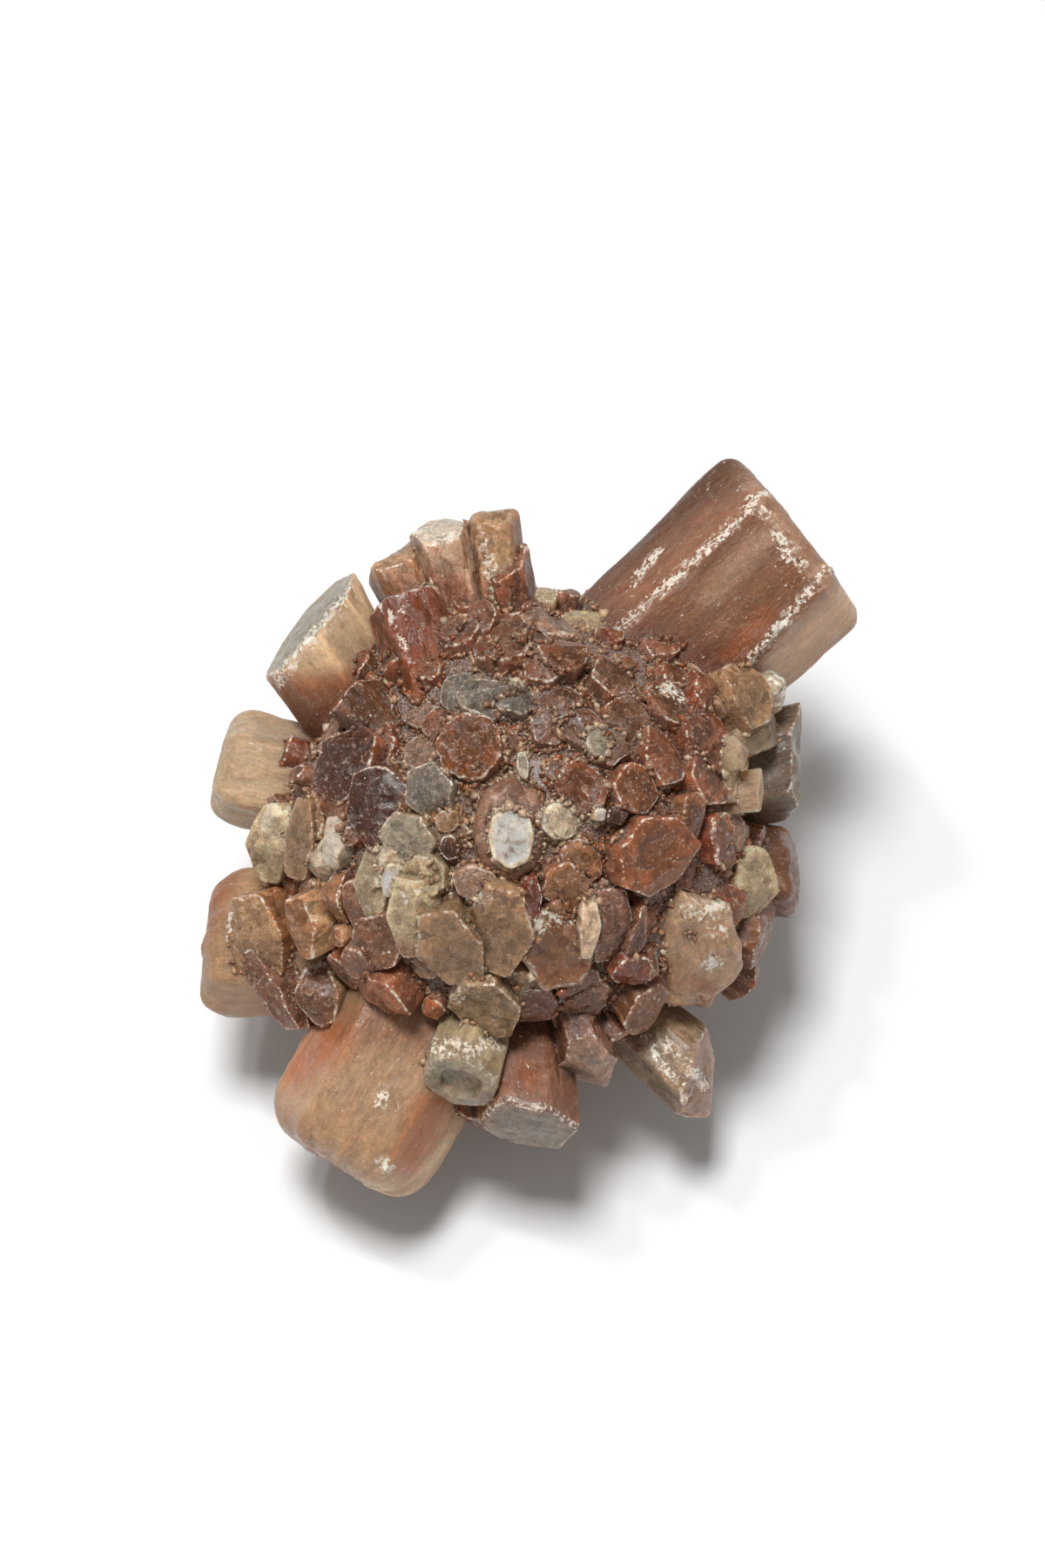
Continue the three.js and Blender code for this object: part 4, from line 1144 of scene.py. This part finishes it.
def stone_material():
    stone, tree, shader = new_material("aragonite", STONE_GLOSS)
    grain = attribute(tree, "grain", "Vector")
    tint = attribute(tree, "tint", "Color")
    clear = attribute(tree, "clear")
    frost = attribute(tree, "frost")
    wear_and_glint = attribute(tree, "wear_and_glint")
    crust = attribute(tree, "crust")
    streak_and_glint = attribute(tree, "streak_and_glint")
    shatter = attribute(tree, "shatter")

    noises = {name: spread_noise(tree, grain, *values) for name, values in NOISES.items()}
    patches, specks, grit = noises["patches"], noises["specks"], noises["grit"]

    # broken cells, each with a shade and a slope of its own
    bent = vector_node(tree, "MULTIPLY", grain, WARP).outputs[0]
    swirl = node(tree, "ShaderNodeTexNoise", {"Vector": bent, "Scale": 1.0, "Detail": 2.0}).outputs["Color"]
    bent = vector_node(tree, "ADD", bent, swirl).outputs[0]
    spacing = {"Vector": bent, "Scale": CELL_SCALE}
    cells = node(tree, "ShaderNodeTexVoronoi", spacing)
    borders = node(tree, "ShaderNodeTexVoronoi", spacing, feature="DISTANCE_TO_EDGE")
    tilt = vector_node(tree, "SUBTRACT", cells.outputs["Color"], (0.5, 0.5, 0.5)).outputs[0]
    there = vector_node(tree, "SUBTRACT", bent, cells.outputs["Position"]).outputs[0]
    facets = vector_node(tree, "DOT_PRODUCT", tilt, there).outputs["Value"]
    cell_values = node(tree, "ShaderNodeSeparateColor", {"Color": cells.outputs["Color"]})
    shade, glint = cell_values.outputs[0], cell_values.outputs[1]

    # growth bands, mottling, cells and clouds
    mottled = ramp(tree, shatter, 0.0, 1.0, 0.45, 1.0)
    colour = dimmed(tree, tint, ramp(tree, noises["bands"], 0.35, 0.65, 0.9, 1.1))
    colour = dimmed(tree, colour, ramp(tree, noises["fibres"], 0.35, 0.65, 0.93, 1.07))
    colour = dimmed(tree, colour, ramp(tree, patches, 0.3, 0.7, 0.76, 1.24), mottled)
    shaded = dimmed(tree, colour, ramp(tree, shade, 0.0, 1.0, 0.74, 1.26))
    colour = blend(tree, ramp(tree, shatter, 0.0, 1.0, 0.15, 1.0), colour, shaded)
    colour = blend(tree, ramp(tree, noises["clouds"], 0.52, 0.75, 0.0, 0.25), colour, RUST_COLOUR)
    milky = dimmed(tree, colour, MILKY_GAIN)
    colour = blend(tree, ramp(tree, noises["clouds"], 0.42, 0.25), colour, milky)
    colour = dimmed(tree, colour, ramp(tree, grit, 0.35, 0.65, 0.8, 1.2), mottled)

    # specks, painted glints as sparks, cracks, worn rims with painted glints on them, and frosted ends, each
    # laid over the last
    crack = product(tree, ramp(tree, borders.outputs["Distance"], 0.06, 0.0), ramp(tree, patches, 0.5, 0.62))
    frosting = product(tree, frost, ramp(tree, patches, 0.3, 0.55))
    layers = [
        (product(tree, mottled, ramp(tree, specks, 0.58, 0.7, 0.0, 0.5)), PALE_COLOUR),
        (product(tree, mottled, ramp(tree, specks, 0.44, 0.3, 0.0, 0.5)), CRUST_DARK),
        # painted glints scattered as sparks
        (ramp(tree, noises["sparks"], 0.69, 0.74, 0.0, 0.9), PAINTED_GLINT_COLOUR),
        (product(tree, crack, ramp(tree, shatter, 0.0, 1.0, 0.1, 0.6)), PALE_COLOUR),
        # worn rims, then painted glints on them
        (product(tree, wear_and_glint, ramp(tree, noises["rubbed"], 0.46, 0.64, 0.0, 0.7)), PALE_COLOUR),
        (product(tree, wear_and_glint, ramp(tree, specks, 0.53, 0.58, 0.0, 0.9)), PAINTED_GLINT_COLOUR),
        (frosting, FROST_COLOUR),
    ]

    # whitish fractures with painted glints along them, and the crust over everything
    spread = ramp(tree, noises["breaks"], 0.4, 0.65, 0.0, 0.45)
    broken = ramp(tree, math_node(tree, "SUBTRACT", streak_and_glint, spread), 0.2, 0.0)
    dense = math_node(tree, "ADD", specks, ramp(tree, streak_and_glint, 0.55, 0.0, -0.19, 0.0))
    dense = math_node(tree, "ADD", dense, ramp(tree, noises["rubbed"], 0.3, 0.7, -0.14, 0.14))
    glint_flecks = product(tree, ramp(tree, streak_and_glint, 0.55, 0.4), ramp(tree, dense, 0.45, 0.52))
    crumbs = blend(tree, ramp(tree, grit, 0.42, 0.62), CRUST_DARK, CRUST_PALE)
    crusting = product(tree, crust, ramp(tree, patches, 0.3, 0.6, 0.55, 1.0))
    layers += [
        (product(tree, broken, ramp(tree, specks, 0.4, 0.6, 0.0, 0.7)), PALE_COLOUR),
        (glint_flecks, PAINTED_GLINT_COLOUR),
        (crusting, crumbs),
    ]
    for share, over in layers:
        colour = blend(tree, share, colour, over)

    rough = ramp(tree, glint, 0.6, 0.9, 0.45, 0.16)
    rough = math_node(tree, "ADD", rough, product(tree, frosting, 0.3))
    rough = math_node(tree, "ADD", rough, product(tree, crusting, 0.4))

    facets = product(tree, facets, ramp(tree, shatter, 0.0, 1.0, 0.08, 1.0))
    bump = bumped(tree, FIBRE_BUMP, noises["fibres"])
    bump = bumped(tree, GRIT_BUMP, grit, Normal=bump)
    bump = bumped(tree, CELL_BUMP, facets, Normal=bump)
    sound = math_node(tree, "SUBTRACT", 1.0, glint_flecks)
    tree.links.new(colour, shader.inputs["Base Color"])
    tree.links.new(rough, shader.inputs["Roughness"])
    tree.links.new(bump, shader.inputs["Normal"])
    tree.links.new(product(tree, clear, sound), shader.inputs["Transmission Weight"])
    return stone


def grain_material():
    grit, tree, shader = new_material("grains", GRAIN_GLOSS)
    tree.links.new(attribute(tree, "tint", "Color"), shader.inputs["Base Color"])
    return grit


SHARP_ANGLE = math.radians(40)      # edges that bend more than this are shaded as edges

named = FACE_CRYSTALS + FEET + back_crystals()
rows = named + infill_crystals(named)
joined = grown_together(rows)
grains = grain_object(dress(joined, rows))
joined.transform(Matrix.Scale(MM, 4))
joined.shade_smooth()
joined.set_sharp_from_angle(angle=SHARP_ANGLE)
cluster = new_object("cluster", joined)
for piece, material in ((cluster, stone_material()), (grains, grain_material())):
    within_the_solid(piece.data, cad_box)
    piece.data.materials.clear()
    piece.data.materials.append(material)
    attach(piece, "root")
    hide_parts("aragonite_cluster")

# ---- the floor, the light and the camera ----
RIGHT = np.array([1.0, 0.0, 0.0])
UP = np.array([0.0, math.cos(LEAN_BACK), math.sin(LEAN_BACK)])
OUT = np.array([0.0, -math.sin(LEAN_BACK), math.cos(LEAN_BACK)])
AIM = HEART + 0.278 * RIGHT + 2.222 * UP      # the middle of the picture
CAMERA_DISTANCE = 260.0
LENS = 93.6
SENSOR_WIDTH = 36
FLOOR_SIZE = 3.0
WORLD_LIGHT = 0.28
LAMPS = [
    # name, power in watts, width in metres, place
    ("softbox", 5.9, 0.22, (-0.1, 0.02, 0.86)),
    ("window", 0.4, 0.04, (-0.2, 0.12, 0.6)),
]


def stage():
    bpy.ops.mesh.primitive_plane_add(size=FLOOR_SIZE)
    floor = bpy.context.object
    floor.name = "floor"
    floor.data.materials.append(new_material("floor", FLOOR_GLOSS)[0])
    world = bpy.data.worlds.new("studio")
    bpy.context.scene.world = world
    world.use_nodes = True
    world.node_tree.nodes["Background"].inputs["Color"].default_value = (1, 1, 1, 1)
    world.node_tree.nodes["Background"].inputs["Strength"].default_value = WORLD_LIGHT
    for name, energy, size, place in LAMPS:
        lamp = bpy.data.lights.new(name, "AREA")
        lamp.energy = energy
        lamp.size = size
        softbox = bpy.data.objects.new(name, lamp)
        bpy.context.scene.collection.objects.link(softbox)
        softbox.location = place
        softbox.rotation_euler = (-softbox.location).to_track_quat("-Z", "Y").to_euler()


def camera():
    lens = bpy.data.cameras.new("camera")
    lens.lens = LENS
    lens.sensor_width = SENSOR_WIDTH
    eye = bpy.data.objects.new("camera", lens)
    bpy.context.scene.collection.objects.link(eye)
    place = (AIM + OUT * CAMERA_DISTANCE) * MM
    axes = np.column_stack([RIGHT, UP, OUT])
    eye.matrix_world = Matrix.Translation(Vector(place)) @ Matrix(axes.tolist()).to_4x4()
    bpy.context.scene.camera = eye


stage()
camera()
bpy.context.scene.view_settings.view_transform = "Standard"
